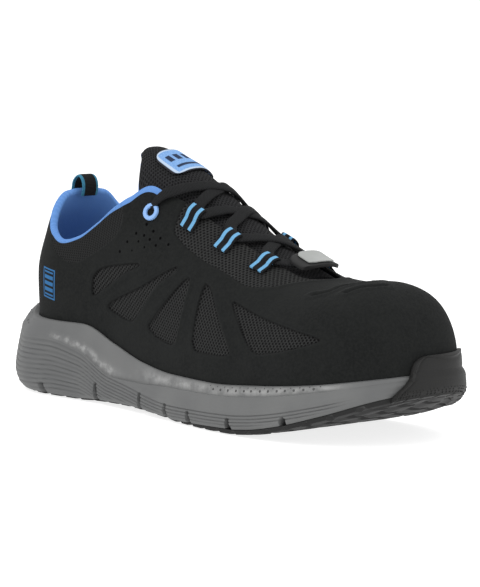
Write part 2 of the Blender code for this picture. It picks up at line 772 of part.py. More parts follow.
def cut_notches(midsole):
    ring = rim_ring()
    plan = plan_normals(ring)
    ats = shares_of(ring)
    low = offset_ring(ring, plan, side_offset(ats, swoop(ats) * 0.5), midsole_base)
    half = len(ring) // 2
    for k, notch in enumerate(NOTCHES):
        for side, rows in ((-1, slice(0, half)), (1, slice(len(ring) - 1, half, -1))):
            order = np.argsort(low[rows, 0])
            x = along(notch.at)
            y = np.interp(x, low[rows, 0][order], low[rows, 1][order])
            name = "notch_cutter_%s_%d" % ("lateral" if side < 0 else "medial", k + 1)
            cutter = wedge(name, NOTCH_WIDTH, 2 * NOTCH_REACH, NOTCH_DEPTH * notch.depth + CUT_PAST, NOTCH_TAPER)
            cutter.location = (x, y, midsole_base(notch.at) - CUT_PAST)
            add_boolean(midsole, cutter)


def cut_grooves(outsole):
    count = int((UPPER_LENGTH + SOLE_FLARE) / GROOVE_PITCH)
    start = HEEL_X - 0.5 * SOLE_FLARE + 0.5 * ((UPPER_LENGTH + SOLE_FLARE) - (count - 1) * GROOVE_PITCH)
    for k in range(count):
        x = start + k * GROOVE_PITCH
        at = (x - HEEL_X) / UPPER_LENGTH
        depth = LUG_SHARE * (midsole_base(at) - lift(at))
        cutter = wedge("groove_cutter_%d" % (k + 1), GROOVE_WIDTH, 2 * BALL_WIDTH, depth + CUT_PAST, GROOVE_TAPER)
        slope = (lift(at + 0.01) - lift(at - 0.01)) / (0.02 * UPPER_LENGTH)
        cutter.rotation_euler = (0.0, -np.arctan(slope), 0.0)
        cutter.location = (x, 0.0, lift(at) - CUT_PAST)
        add_boolean(outsole, cutter)


def rim_point(turn):
    """Point of the rim's outline in plan, along a ray from the throat's front."""
    direction = np.array([np.sin(turn), -np.cos(turn)])
    return np.array([along(THROAT_AT), centre(THROAT_AT)]) + toe_reach(direction) * direction


def bumper_point(turn, level):
    """Point under the toe bumper: on the midsole's side up to level 1, then on the upper."""
    foot = rim_point(turn)
    at = (foot[0] - HEEL_X) / UPPER_LENGTH
    if level <= 1.0:
        run = rim_point(turn + 0.01) - rim_point(turn - 0.01)
        normal = np.array([run[1], -run[0]]) / np.linalg.norm(run)
        x, y = foot + normal * side_offset(at, level)
        return x, y, side_height(lambda share: level)((x - HEEL_X) / UPPER_LENGTH)
    column = fan_column(turn, np.linspace(0.0, 1.0, 60))
    z = column[0, 2] + (BUMPER_HEIGHT - column[0, 2]) * (level - 1.0)
    return np.interp(z, column[:, 2], column[:, 0]), np.interp(z, column[:, 2], column[:, 1]), z


def bumper_grids():
    """Outer and inner face of the toe bumper, from its tuck under the sole's edge to its lip on the upper."""
    levels = np.array([row.level for row in BUMPER])
    sweep = np.linspace(-1.0, 1.0, BUMPER_STATIONS)
    seat_points = np.zeros((len(sweep), len(levels), 3))
    for i, share in enumerate(sweep):
        for j, row in enumerate(BUMPER):
            turn = radians(BUMPER_TURN + share * row.half_turn)
            seat_points[i, j] = bumper_point(turn, row.level)
    normals = skin_normals(seat_points, ring_closed=False)
    thickness = np.array([row.thickness for row in BUMPER]) * BUMPER_THICKNESS
    clear = 1.6 * GAP + BUMPER_CLEAR * (levels <= 1.0)
    inner = seat_points + normals * clear[None, :, None]
    outer = inner + normals * thickness[None, :, None]
    inward = normals[:, :1] * [1.0, 1.0, 0.0]
    inward *= -BUMPER_TUCK / np.linalg.norm(inward, axis=2)[..., None]
    grids = []
    for grid, share in ((outer, 0.85), (inner, 0.35)):
        low = np.concatenate([grid[:, :1] + inward, grid[:, :1]], axis=1)
        low[:, :, 2] = midsole_base((low[:, :, 0] - HEEL_X) / UPPER_LENGTH) - share * OUTSOLE_THICKNESS
        grids.append(np.concatenate([low, grid], axis=1))
    return grids


def add_bumper(outsole):
    outer, inner = bumper_grids()
    bumper = sheet_solid("toe_bumper", outer, inner, BLACK_RUBBER)
    add_boolean(outsole, bumper, "UNION")


def tongue_half_width(at):
    return TONGUE_HALF_WIDTH * curve(TONGUE, "half_width", at)


def tongue_face(at, across):
    """Height of the tongue's face from the skin: clear of the wall over its sides, and bent down at its tip."""
    padded = 1.0 - ease(CORNER_AT - 0.06, CORNER_AT + 0.05, at)
    crown = (1.0 - np.clip(np.abs(across) / tongue_half_width(at), 0.0, 1.0) ** 2) ** 2
    raised = TONGUE_RISE * (curve(TONGUE, "rise", at) * crown - curve(TONGUE, "drop", at))
    return raised - WALL - (COLLAR_PAD - WALL) * padded - 2.0 * GAP


def make_tongue(material):
    ats = np.concatenate([[row.at for row in TONGUE[:4]], np.linspace(0.375, TONGUE[-1].at, 10)])
    shares = np.linspace(-1.0, 1.0, 9)
    at = np.repeat(ats[:, None], len(shares), axis=1)
    # The tip leans to the lateral side, as the ankle's opening does
    across = tongue_half_width(at) * shares - TONGUE_LEAN * (1.0 - ease(0.36, 0.46, at))
    thickness = TONGUE_THICKNESS * curve(TONGUE, "thickness", at) * (1.0 - TONGUE_EDGE * np.abs(shares) ** 3)
    face = tongue_face(at, across)
    outer = lifted(at, across, face)
    inner = lifted(at, across, face - thickness)
    return sheet_solid("tongue", outer, inner, material)


def ribbon(name, at, across, height, width, thickness, material):
    """A flat band along a course in the skin's chart, standing on its heights."""
    course = np.stack([at * UPPER_LENGTH, across], -1)
    run = np.gradient(course, axis=0)
    run /= np.linalg.norm(run, axis=1)[:, None]
    beside = np.stack([-run[:, 1], run[:, 0]], -1) * 0.5 * width
    grids = []
    for rise in (thickness, 0.0):
        edges = []
        for share in (-1.0, 0.0, 1.0):
            edge = course + beside * share
            edges.append(lifted(edge[:, 0] / UPPER_LENGTH, edge[:, 1], height + rise))
        grids.append(np.stack(edges, axis=1))
    return sheet_solid(name, grids[0], grids[1], material)


def past_edge(at, side, distance):
    """Distance from the centre line of a point that far along the section from the throat's edge."""
    reach = np.linspace(0.0, 1.0, 400) ** 0.8 * (half_width(at, side) - GAP)
    points = at_width(at, side * reach)
    run = np.concatenate([[0.0], np.cumsum(np.linalg.norm(np.diff(points, axis=0), axis=1))])
    edge = np.interp(throat_edge(at), reach, run)
    return np.interp(edge + distance, run, reach)


def make_loop(name, at, side, material):
    past = np.array([row.past for row in LOOP_COURSE]) * LOOP_LENGTH
    rise = np.array([row.rise for row in LOOP_COURSE]) * LOOP_RISE + 0.5 * LOOP_THICKNESS + LOOP_SEAT
    run = np.stack([np.gradient(past), np.gradient(rise)], -1)
    run /= np.linalg.norm(run, axis=1)[:, None]
    half = 0.5 * LOOP_THICKNESS
    ats = at + np.array([-0.5, 0.0, 0.5]) * LOOP_WIDTH / UPPER_LENGTH
    grids = []
    for sign in (1.0, -1.0):
        place = np.array([side * past_edge(edge_at, side, sign * half * run[:, 1] - past) for edge_at in ats])
        height = rise + sign * half * run[:, 0]
        grids.append(lifted(ats[:, None], place, height[None, :]))
    return sheet_solid(name, grids[0], grids[1], material)


def lace_reach(at):
    """Where a lace's crossing ends, short of the loop that holds it."""
    return throat_edge(at) - 0.40 * LOOP_LENGTH - LOOP_THICKNESS - 3.0 * GAP


def lace_course(start_at, end_at, side):
    share = np.linspace(0.0, 1.0, 9)
    at = start_at + (end_at - start_at) * share
    across = side * (lace_reach(start_at) * (1.0 - share) - lace_reach(end_at) * share)
    height = LACE_LIFT - LACE_SAG * np.sin(pi * share)
    return at, across, height


def make_cross(name, back_at, front_at, material):
    at, across, height = lace_course(back_at, front_at, -1.0)
    first = ribbon(name, at, across, height, LACE_WIDTH, LACE_THICKNESS, material)
    at, across, height = lace_course(back_at, front_at, 1.0)
    over = height + 0.7 * LACE_THICKNESS * np.exp(-(across / LACE_WIDTH) ** 2)
    second = ribbon(name + "_over", at, across, over, LACE_WIDTH, LACE_THICKNESS, material)
    add_boolean(first, second, "UNION")
    return first


def make_bar(material):
    at = np.full(9, KEEPER_AT)
    across = np.linspace(-1.0, 1.0, 9) * (throat_edge(KEEPER_AT) - BAR_INSET)
    height = np.full(9, BAR_HEIGHT)
    return ribbon("lace_bar", at, across, height, LACE_WIDTH, LACE_THICKNESS, material)


def skin_plate(name, at, size_along, size_across, base, thickness, material):
    """A plate over the skin on its centre line, its base height a function of place."""
    u = at + np.linspace(-0.5, 0.5, 5) * size_along / UPPER_LENGTH
    v = np.linspace(-0.5, 0.5, 9) * size_across
    grid_at, grid_across = np.meshgrid(u, v, indexing="ij")
    bottom = base(grid_at, grid_across)
    top_grid = lifted(grid_at, grid_across, bottom + thickness)
    return sheet_solid(name, top_grid, lifted(grid_at, grid_across, bottom), material)


def keeper_base(at, across):
    """The keeper arches over the lace's bottom bar."""
    arch = KEEPER_ARCH * (1.0 - (2.0 * across / KEEPER_SPAN) ** 2)
    return BAR_HEIGHT + LACE_THICKNESS + GAP + arch


def plate_base(at, across):
    return keeper_base(at, across) + KEEPER_THICKNESS + 1.6 * GAP


def badge_base(at, across):
    return 3.0 * GAP + tongue_face(at, across)


def make_eyelet(name, side, material):
    column = np.array([side_column(EYELET_AT + d, side, np.array([EYELET_LEVEL - 0.02, EYELET_LEVEL + 0.02]))
                       for d in (-0.01, 0.01)])
    middle = column.reshape(-1, 3).mean(axis=0)
    along_step = column[1].mean(axis=0) - column[0].mean(axis=0)
    up_step = column[:, 1].mean(axis=0) - column[:, 0].mean(axis=0)
    normal = np.cross(along_step, up_step)
    normal /= np.linalg.norm(normal)
    if normal[1] * side < 0:
        normal = -normal
    profile = [
        (EYELET_HOLE, EYELET_HEIGHT),
        (0.5 * (EYELET_HOLE + EYELET_RADIUS), 1.15 * EYELET_HEIGHT),
        (EYELET_RADIUS, 0.55 * EYELET_HEIGHT),
        (EYELET_RADIUS, 0.0),
        (EYELET_HOLE, 0.0),
    ]
    turns = EYELET_STATIONS
    points = []
    faces = []
    for k in range(turns):
        angle = 2.0 * pi * k / turns
        points += [(r * np.cos(angle), r * np.sin(angle), z) for r, z in profile]
        for j in range(len(profile)):
            a = k * len(profile) + j
            b = k * len(profile) + (j + 1) % len(profile)
            c = ((k + 1) % turns) * len(profile) + (j + 1) % len(profile)
            d = ((k + 1) % turns) * len(profile) + j
            faces.append((a, b, c, d))
    piece = new_mesh_object(name, points, faces, material)
    turn = Vector((0.0, 0.0, 1.0)).rotation_difference(Vector(normal))
    place = Vector(middle) + Vector(normal) * EYELET_SEAT
    piece.matrix_world = Matrix.Translation(place) @ turn.to_matrix().to_4x4()
    return piece


def make_pull_loop(material):
    """Webbing from the heel's outside up over the collar and down inside it."""
    top = COLLAR_HEIGHT * COLLAR[0].height
    crown = top + 0.42 * COLLAR_PAD
    outside = HEEL_X + lean(0.0, top)
    half = 0.5 * PULL_THICKNESS
    course = [
        (lean(0.0, top - PULL_TAIL) + HEEL_X - half - 3.0 * GAP, top - PULL_TAIL),
        (lean(0.0, top - 0.5 * PULL_TAIL) + HEEL_X - half - 3.0 * GAP, top - 0.5 * PULL_TAIL),
        (outside - half - 4.0 * GAP, top),
        (outside - half - GAP, crown + 0.4 * PULL_RISE),
        (outside + 0.25 * COLLAR_PAD, crown + 0.85 * PULL_RISE),
        (outside + 0.7 * COLLAR_PAD, crown + PULL_RISE),
        (outside + 1.25 * COLLAR_PAD, crown + 0.8 * PULL_RISE),
        (outside + 1.6 * COLLAR_PAD, crown + 0.3 * PULL_RISE),
        (outside + 1.55 * COLLAR_PAD, top - 0.4 * PULL_INSIDE),
        (outside + 1.42 * COLLAR_PAD, top - PULL_INSIDE),
    ]
    course = np.array(course)
    run = np.gradient(course, axis=0)
    run /= np.linalg.norm(run, axis=1)[:, None]
    side = np.stack([-run[:, 1], run[:, 0]], -1)
    ys = np.linspace(-0.5, 0.5, 5) * PULL_WIDTH
    depth = HEEL_CAP * UPPER_LENGTH * (1.0 - np.sqrt(1.0 - (2.0 * ys / HEEL_WIDTH) ** 2))
    grids = []
    for sign in (1.0, -1.0):
        line = course + sign * half * side
        grid = [np.stack([line[:, 0] + back, np.full(len(line), SIDE_SHIFT + y), line[:, 1]], -1)
                for y, back in zip(ys, depth)]
        grids.append(np.array(grid))
    return sheet_solid("heel_pull_loop", grids[0], grids[1], material)


for leftover in list(bpy.data.objects):
    bpy.data.objects.remove(leftover, do_unlink=True)

SHOE = bpy.data.collections.new("safety_sneaker")
CUTTERS = bpy.data.collections.new("cutters")
for collection in (SHOE, CUTTERS):
    bpy.context.scene.collection.children.link(collection)

HEEL_X = 0.0
SIDE_SHIFT = 0.0
shift = frame_shift()
HEEL_X = -shift[0]
SIDE_SHIFT = -shift[1]

BLACK_NUBUCK = finish("black_nubuck", (0.028, 0.030, 0.033), 0.78)
GREY_FOAM = finish("grey_foam", (0.33, 0.33, 0.33), 0.62)
BLACK_RUBBER = finish("black_rubber", (0.03, 0.03, 0.03), 0.55)
BLUE_TEXTILE = finish("blue_textile", (0.16, 0.30, 0.62), 0.85)
BLACK_MESH = finish("black_mesh", (0.025, 0.025, 0.028), 0.85)
BLACK_WEBBING = finish("black_webbing", (0.02, 0.02, 0.024), 0.80)
BLUE_PLASTIC = finish("blue_plastic", (0.22, 0.38, 0.72), 0.45)
BLACK_PLASTIC = finish("black_plastic", (0.03, 0.03, 0.03), 0.50)
WHITE_PLASTIC = finish("white_plastic", (0.80, 0.80, 0.78), 0.40)

upper = make_upper(BLACK_NUBUCK)
cut_windows(upper)
midsole = make_midsole(GREY_FOAM)
cut_notches(midsole)
make_insole(BLUE_TEXTILE)
outsole = make_outsole(BLACK_RUBBER)
add_bumper(outsole)
cut_grooves(outsole)
make_tongue(BLACK_MESH)

for side, side_name in ((-1.0, "lateral"), (1.0, "medial")):
    make_eyelet("eyelet_" + side_name, side, BLUE_PLASTIC)
    for k, at in enumerate(LOOP_AT):
        make_loop("lace_loop_%s_%d" % (side_name, k + 1), at, side, BLACK_WEBBING)

starts = (CROSS_AT,) + tuple(at + LACE_STAGGER for at in LOOP_AT[:-1])
for k, (back_at, front_at) in enumerate(zip(starts, LOOP_AT)):
    make_cross("lace_cross_%d" % (k + 1), back_at, front_at - LACE_STAGGER, BLACK_WEBBING)
make_bar(BLACK_WEBBING)

skin_plate("lace_keeper", KEEPER_AT, KEEPER_LENGTH, KEEPER_SPAN, keeper_base, KEEPER_THICKNESS, BLACK_PLASTIC)
skin_plate("keeper_plate", KEEPER_AT, KEEPER_LENGTH - PLATE_MARGIN, KEEPER_SPAN - 4.0 * PLATE_MARGIN, plate_base,
           PLATE_THICKNESS, WHITE_PLASTIC)
skin_plate("tongue_badge", BADGE_AT, BADGE_LENGTH, BADGE_WIDTH, badge_base, BADGE_THICKNESS, BLUE_TEXTILE)
make_pull_loop(BLACK_WEBBING)
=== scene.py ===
from math import cos, pi, radians, sin

import bmesh
import bpy
import numpy as np
from mathutils import Matrix, Vector


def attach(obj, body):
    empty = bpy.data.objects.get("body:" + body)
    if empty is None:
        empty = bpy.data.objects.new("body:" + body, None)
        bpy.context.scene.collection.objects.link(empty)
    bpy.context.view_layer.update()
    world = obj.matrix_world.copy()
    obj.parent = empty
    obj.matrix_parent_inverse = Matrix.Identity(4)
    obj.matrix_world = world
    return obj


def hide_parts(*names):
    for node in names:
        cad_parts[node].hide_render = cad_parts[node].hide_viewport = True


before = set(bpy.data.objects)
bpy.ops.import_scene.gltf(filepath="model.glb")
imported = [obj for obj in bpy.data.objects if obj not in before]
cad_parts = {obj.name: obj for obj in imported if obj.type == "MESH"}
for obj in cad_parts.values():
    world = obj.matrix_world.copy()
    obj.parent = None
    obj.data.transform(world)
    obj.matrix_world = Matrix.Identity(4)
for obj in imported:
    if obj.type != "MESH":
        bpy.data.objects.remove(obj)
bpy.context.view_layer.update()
print("frame loaded")

mm = 0.001

# The last: the same sizes and short tables as the solids, so that every fine surface lies on them
last = {
    "heelX": -0.13935, "sideShift": -0.00110, "length": 0.286, "ballWidth": 0.1028, "heelWidth": 0.0682,
    "toeHeight": 0.083, "instepRise": 0.049, "toeSwing": 0.010, "heelLean": 0.019, "collarHeight": 0.112,
    "throatHalfWidth": 0.028, "heelCap": 0.13, "toeCap": 0.80, "toePower": 2.4, "ridgeCap": 0.86,
    "ridgePower": 2.3, "cornerAt": 0.400, "cornerBlend": 0.075, "throatAt": 0.700,
    "rimHeight": 0.049, "soleFlare": 0.0105, "toeSpring": 0.025, "footbed": 0.030, "outsole": 0.0035,
    "wall": 0.0024, "collarPad": 0.0045, "gap": 0.0003,
}
# at, centre, lateral, medial
planTable = [
    (0.00, 0.00, 0.970, 0.970), (0.14, 0.00, 1.020, 1.000), (0.28, 0.10, 1.050, 0.890),
    (0.42, 0.32, 1.080, 0.760), (0.55, 0.46, 1.090, 0.770), (0.66, 0.56, 1.100, 0.830),
    (0.74, 0.63, 1.100, 0.870), (0.82, 0.70, 1.080, 0.900), (0.90, 0.80, 1.045, 0.880),
    (1.00, 0.95, 1.000, 0.850),
]
# at, rise, squareness
ridgeTable = [
    (0.00, 1.60, 2.80), (0.18, 1.60, 2.80), (0.26, 1.48, 2.75), (0.32, 1.28, 2.65), (0.38, 1.05, 2.50),
    (0.45, 0.78, 2.35), (0.52, 0.53, 2.25), (0.60, 0.27, 2.25), (0.68, 0.07, 2.30), (0.74, -0.04, 2.40),
    (0.80, -0.06, 2.50), (0.88, -0.02, 2.60), (1.00, 0.00, 2.60),
]
# at, rim, footbed, flare, swoop
soleTable = [
    (0.00, 1.00, 1.00, 1.34, 0.74), (0.05, 0.86, 1.00, 1.26, 0.76), (0.14, 0.86, 0.98, 0.92, 0.78),
    (0.22, 0.87, 0.92, 0.62, 0.66), (0.32, 0.71, 0.80, 0.48, 0.45), (0.42, 0.57, 0.69, 0.43, 0.56),
    (0.52, 0.52, 0.62, 0.43, 0.72), (0.64, 0.52, 0.58, 0.43, 0.75), (0.76, 0.57, 0.64, 0.44, 0.76),
    (0.88, 0.65, 0.82, 0.38, 0.78), (1.00, 0.77, 1.05, 0.12, 0.78),
]
# at, lift
liftTable = [
    (-0.04, 0.30), (-0.01, 0.11), (0.06, 0.00), (0.22, 0.00), (0.26, 0.03), (0.38, 0.07), (0.50, 0.03),
    (0.54, 0.00), (0.70, 0.00), (0.74, 0.04), (0.80, 0.17), (0.90, 0.52), (1.00, 1.00), (1.02, 1.08),
]
# at, height
collarTable = [
    (0.000, 1.00), (0.015, 0.99), (0.045, 0.92), (0.090, 0.815), (0.140, 0.765), (0.190, 0.795),
    (0.240, 0.870), (0.290, 0.965), (0.330, 1.025), (0.365, 1.060), (0.400, 1.065),
]
throatTable = [(0.400, 0.93), (0.440, 0.83), (0.520, 0.73), (0.700, 0.56)]
leanTable = [(0.00, 0.13), (0.35, 0.00), (0.70, 0.45), (1.00, 1.00)]
# height, flare
sideBelow = [(0.00, 0.62), (0.10, 0.86), (0.30, 1.00), (0.60, 0.92), (1.00, 0.74)]
sideAbove = [(0.00, 0.82), (0.40, 0.62), (0.80, 0.36), (1.00, 0.20)]


def curve(table, column, x):
    # monotone cubic through one column
    xs = np.array([row[0] for row in table], float)
    ys = np.array([row[column] for row in table], float)
    x = np.clip(np.asarray(x, float), xs[0], xs[-1])
    step = np.diff(xs)
    slope = np.diff(ys) / step
    tangent = np.zeros_like(ys)
    for i in range(1, len(xs) - 1):
        if slope[i - 1] * slope[i] > 0:
            back = 2 * step[i] + step[i - 1]
            fore = step[i] + 2 * step[i - 1]
            tangent[i] = (back + fore) / (back / slope[i - 1] + fore / slope[i])
    tangent[0] = slope[0]
    tangent[-1] = slope[-1]
    k = np.clip(np.searchsorted(xs, x, side="right") - 1, 0, len(xs) - 2)
    return hermite((x - xs[k]) / step[k], k, step[k], ys, tangent)


def hermite(t, k, width, values, slopes):
    start = (2 * t**3 - 3 * t**2 + 1) * values[k] + (t**3 - 2 * t**2 + t) * width * slopes[k]
    return start + (3 * t**2 - 2 * t**3) * values[k + 1] + (t**3 - t**2) * width * slopes[k + 1]


def lengthsOf(points):
    return np.concatenate([[0.0], np.cumsum(np.linalg.norm(np.diff(points, axis=0), axis=1))])


def ease(low, high, value):
    share = np.clip((value - low) / (high - low), 0.0, 1.0)
    return share * share * (3.0 - 2.0 * share)


def hump(value, middle, width):
    return np.exp(-((value - middle) / width) ** 2)


def roundOff(at, start, end, power):
    share = np.clip((at - start) / (end - start), 0.0, 1.0)
    return np.clip(1.0 - share**power, 0.0, 1.0) ** (1.0 / power)


def halfWidth(at, side):
    at = np.clip(at, 0.0, 1.0)
    grown = 0.5 * (last["heelWidth"] + (last["ballWidth"] - last["heelWidth"]) * ease(0.22, 0.68, at))
    share = np.where(np.asarray(side) < 0, curve(planTable, 2, at), curve(planTable, 3, at))
    ends = roundOff(at, last["heelCap"], 0.0, 2.0) * roundOff(at, last["toeCap"], 1.0, last["toePower"])
    return grown * share * ends


def centre(at):
    return last["sideShift"] + last["toeSwing"] * curve(planTable, 1, at)


def rim(at):
    return last["rimHeight"] * curve(soleTable, 1, at)


def footbed(at):
    return last["footbed"] * curve(soleTable, 2, at)


def lift(at):
    return last["toeSpring"] * curve(liftTable, 1, at)


def ridge(at):
    top = last["toeHeight"] + last["instepRise"] * curve(ridgeTable, 1, at)
    return rim(at) + np.maximum(top - rim(at), 1e-6) * roundOff(at, last["ridgeCap"], 1.0, last["ridgePower"])


def squareness(at):
    return curve(ridgeTable, 2, at)


def lean(at, z):
    height = np.clip((z - rim(at)) / (last["collarHeight"] - rim(at)), 0.0, 1.0)
    return last["heelLean"] * curve(leanTable, 1, height) * np.clip(1.0 - at / 0.30, 0.0, 1.0) ** 2


def along(at):
    return last["heelX"] + last["length"] * at


def shareAt(x):
    return (x - last["heelX"]) / last["length"]


def sharesOf(points):
    return shareAt(points[..., 0])


def atWidth(at, across):
    # a point of the skin, by its distance from the centre line
    side = np.where(across < 0, -1.0, 1.0)
    share = np.clip(np.abs(across) / np.maximum(halfWidth(at, side), 1e-6), 0.0, 1.0)
    n = squareness(at)
    z = rim(at) + (ridge(at) - rim(at)) * (1.0 - share**n) ** (1.0 / n)
    return np.stack(np.broadcast_arrays(along(at) + lean(at, z), centre(at) + across, z), -1)


def atHeight(at, share, side):
    # a point of the skin, by its share of the rise
    n = squareness(at)
    z = rim(at) + (ridge(at) - rim(at)) * share
    y = centre(at) + side * halfWidth(at, side) * (1.0 - share**n) ** (1.0 / n)
    return np.stack(np.broadcast_arrays(along(at) + lean(at, z), y, z), -1)


def throatEdge(at):
    return last["throatHalfWidth"] * curve(throatTable, 1, at)


def edgeAngle(at, side):
    n = squareness(at)
    rise = (last["collarHeight"] * curve(collarTable, 1, at) - rim(at)) / (ridge(at) - rim(at))
    collar = np.arcsin(np.clip(rise, 0.0, 1.0) ** (n / 2.0))
    share = throatEdge(at) / np.maximum(halfWidth(at, side), mm)
    throat = np.arccos(np.clip(share, 0.0, 1.0) ** (n / 2.0))
    return collar + (throat - collar) * ease(last["cornerAt"] - last["cornerBlend"], last["cornerAt"], at)


def sideColumns(ats, side, levels):
    at = ats[:, None]
    n = squareness(at)
    angle = edgeAngle(at, side) * levels[None, :]
    z = rim(at) + (ridge(at) - rim(at)) * np.sin(angle) ** (2.0 / n)
    y = centre(at) + side * halfWidth(at, side) * np.cos(angle) ** (2.0 / n)
    return np.stack([along(at) + lean(at, z), y, z], -1)


def toeReach(turns):
    direction = np.stack([np.sin(turns), -np.cos(turns)], -1)
    start = np.array([along(last["throatAt"]), centre(last["throatAt"])])
    low = np.zeros(len(turns))
    high = np.full(len(turns), last["length"])
    for _ in range(40):
        reach = 0.5 * (low + high)
        place = start + reach[:, None] * direction
        at = shareAt(place[:, 0])
        off = place[:, 1] - centre(np.minimum(at, 1.0))
        inside = (at < 1.0) & (np.abs(off) < halfWidth(at, off))
        low = np.where(inside, reach, low)
        high = np.where(inside, high, reach)
    return low, direction, start


def fanColumns(turns, levels):
    # rays over the toe, from the rim back to the throat
    reach, direction, start = toeReach(turns)
    n = squareness(last["throatAt"])
    radius = last["throatHalfWidth"] * throatTable[-1][1]
    angle = np.arccos((radius / reach) ** (n / 2.0))[:, None] * levels[None, :]
    distance = reach[:, None] * np.cos(angle) ** (2.0 / n)
    x = start[0] + distance * direction[:, :1]
    at = np.clip(shareAt(x), 0.0, 1.0)
    points = atWidth(at, start[1] + distance * direction[:, 1:] - centre(at))
    points[:, 0, 2] = rim(at[:, 0])
    return points


def skinColumns(levels, ankle, sides, fan):
    heel = last["heelCap"] * (1.0 - np.cos(np.linspace(0.0, pi / 2, ankle + 1)))
    ats = np.concatenate([heel, np.linspace(last["heelCap"], last["throatAt"], sides + 1)[1:]])
    turns = np.linspace(0.0, pi, fan + 1)[1:-1]
    lateral = sideColumns(ats, -1.0, levels)
    medial = sideColumns(ats[:0:-1], 1.0, levels)
    return np.concatenate([lateral, fanColumns(turns, levels), medial])


def planNormals(ring):
    step = np.roll(ring, -1, 0) - np.roll(ring, 1, 0)
    normal = np.stack([step[:, 1], -step[:, 0]], -1)
    return normal / np.linalg.norm(normal, axis=1)[:, None]


def offsetRing(ring, normals, distance, height):
    points = ring.copy()
    points[:, :2] += normals * np.broadcast_to(distance, len(ring))[:, None]
    points[:, 2] = height(sharesOf(points))
    return points


def gridNormals(grid, closed=True):
    roundStep = np.roll(grid, -1, 0) - np.roll(grid, 1, 0) if closed else np.gradient(grid, axis=0)
    normal = np.cross(roundStep, np.gradient(grid, axis=1))
    return normal / np.maximum(np.linalg.norm(normal, axis=2), 1e-12)[..., None]


def skinNormal(at, across):
    step = 0.4 * mm
    alongStep = atWidth(at + step / last["length"], across) - atWidth(at - step / last["length"], across)
    acrossStep = atWidth(at, across + step) - atWidth(at, across - step)
    normal = np.cross(alongStep, acrossStep)
    return normal / np.linalg.norm(normal, axis=-1)[..., None]


def lifted(at, across, height):
    at, across, height = np.broadcast_arrays(at, across, height)
    return atWidth(at, across) + skinNormal(at, across) * height[..., None]


# The flat chart of the skin in millimetres: run along the foot from the heel, girth up from the sole's rim
def makeChart():
    ats = np.linspace(0.0, 1.0, 301)
    angles = np.linspace(0.0, pi / 2, 161)
    n = squareness(ats)[:, None]
    width = 0.5 * (halfWidth(ats, -1.0) + halfWidth(ats, 1.0))[:, None]
    rise = (ridge(ats) - rim(ats))[:, None]
    z = rise * np.sin(angles)[None] ** (2.0 / n)
    y = width * np.cos(angles)[None] ** (2.0 / n)
    girth = np.cumsum(np.hypot(np.diff(z, axis=1, prepend=0.0), np.diff(y, axis=1, prepend=width)), axis=1)
    outline = np.stack([along(ats), halfWidth(ats, -1.0)], -1)
    run = lengthsOf(outline)
    return ats, angles, girth, run


chartAts, chartAngles, chartGirth, chartRun = makeChart()


def chartOf(at, angle):
    i = np.clip(at, 0, 1) * (len(chartAts) - 1.001)
    j = np.clip(angle / (pi / 2), 0, 1) * (len(chartAngles) - 1.001)
    a, b = i.astype(int), j.astype(int)
    s, t = i - a, j - b
    low = chartGirth[a, b] * (1 - t) + chartGirth[a, b + 1] * t
    high = chartGirth[a + 1, b] * (1 - t) + chartGirth[a + 1, b + 1] * t
    return np.interp(at, chartAts, chartRun) / mm, (low * (1 - s) + high * s) / mm


def chartOfPoints(points):
    at = np.clip(sharesOf(points), 0.0, 1.0)
    for _ in range(3):
        at = np.clip(shareAt(points[..., 0] - lean(at, points[..., 2])), 0.0, 1.0)
    across = points[..., 1] - centre(at)
    n = squareness(at)
    c = np.clip(np.abs(across) / np.maximum(halfWidth(at, across), 1e-6), 0, 1) ** (n / 2)
    s = np.clip((points[..., 2] - rim(at)) / np.maximum(ridge(at) - rim(at), 1e-6), 0, 1) ** (n / 2)
    run, girth = chartOf(at, np.arctan2(s, c))
    return at, across, run, girth


def chartOfShares(pairs):
    # pairs of place along the foot and share of the rise
    at = np.array([pair[0] for pair in pairs])
    share = np.array([pair[1] for pair in pairs])
    return np.stack(chartOf(at, np.arcsin(np.clip(share, 0, 1) ** (squareness(at) / 2))), -1)


def chartOfWidths(pairs):
    # pairs of place along the foot and distance from the middle
    at = np.array([pair[0] for pair in pairs])
    across = np.array([pair[1] for pair in pairs]) * mm
    c = np.clip(np.abs(across) / halfWidth(at, across), 0, 1) ** (squareness(at) / 2)
    return np.stack(chartOf(at, np.arccos(c)), -1)


def lineDistance(x, y, line, closed=False):
    best = np.full(np.shape(x), 1e9)
    ends = np.roll(line, -1, 0) if closed else line[1:]
    for (ax, ay), (bx, by) in zip(line, ends):
        dx, dy = bx - ax, by - ay
        t = np.clip(((x - ax) * dx + (y - ay) * dy) / max(dx * dx + dy * dy, 1e-12), 0, 1)
        best = np.minimum(best, np.hypot(x - ax - t * dx, y - ay - t * dy))
    return best


def patchDistance(x, y, corners):
    # below zero inside the patch
    inside = np.zeros(np.shape(x), bool)
    for (ax, ay), (bx, by) in zip(corners, np.roll(corners, -1, 0)):
        crosses = (ay > y) != (by > y)
        inside ^= crosses & (x < (bx - ax) * (y - ay) / (by - ay + 1e-12) + ax)
    distance = lineDistance(x, y, corners, closed=True)
    return np.where(inside, -distance, distance)


def addObject(name, data):
    item = bpy.data.objects.new(name, data)
    bpy.context.scene.collection.objects.link(item)
    return item


# Meshes from grids of points
def newPiece(name, points, faces, material, attributes=None, sharp=40):
    mesh = bpy.data.meshes.new(name)
    mesh.from_pydata(np.asarray(points, float).tolist(), [], faces)
    mesh.materials.append(material)
    for key, values in (attributes or {}).items():
        layer = mesh.attributes.new(key, "FLOAT", "POINT")
        layer.data.foreach_set("value", np.asarray(values, np.float32).ravel())
    mesh.shade_smooth()
    mesh.set_sharp_from_angle(angle=radians(sharp))
    mesh.update()
    return addObject(name, mesh)


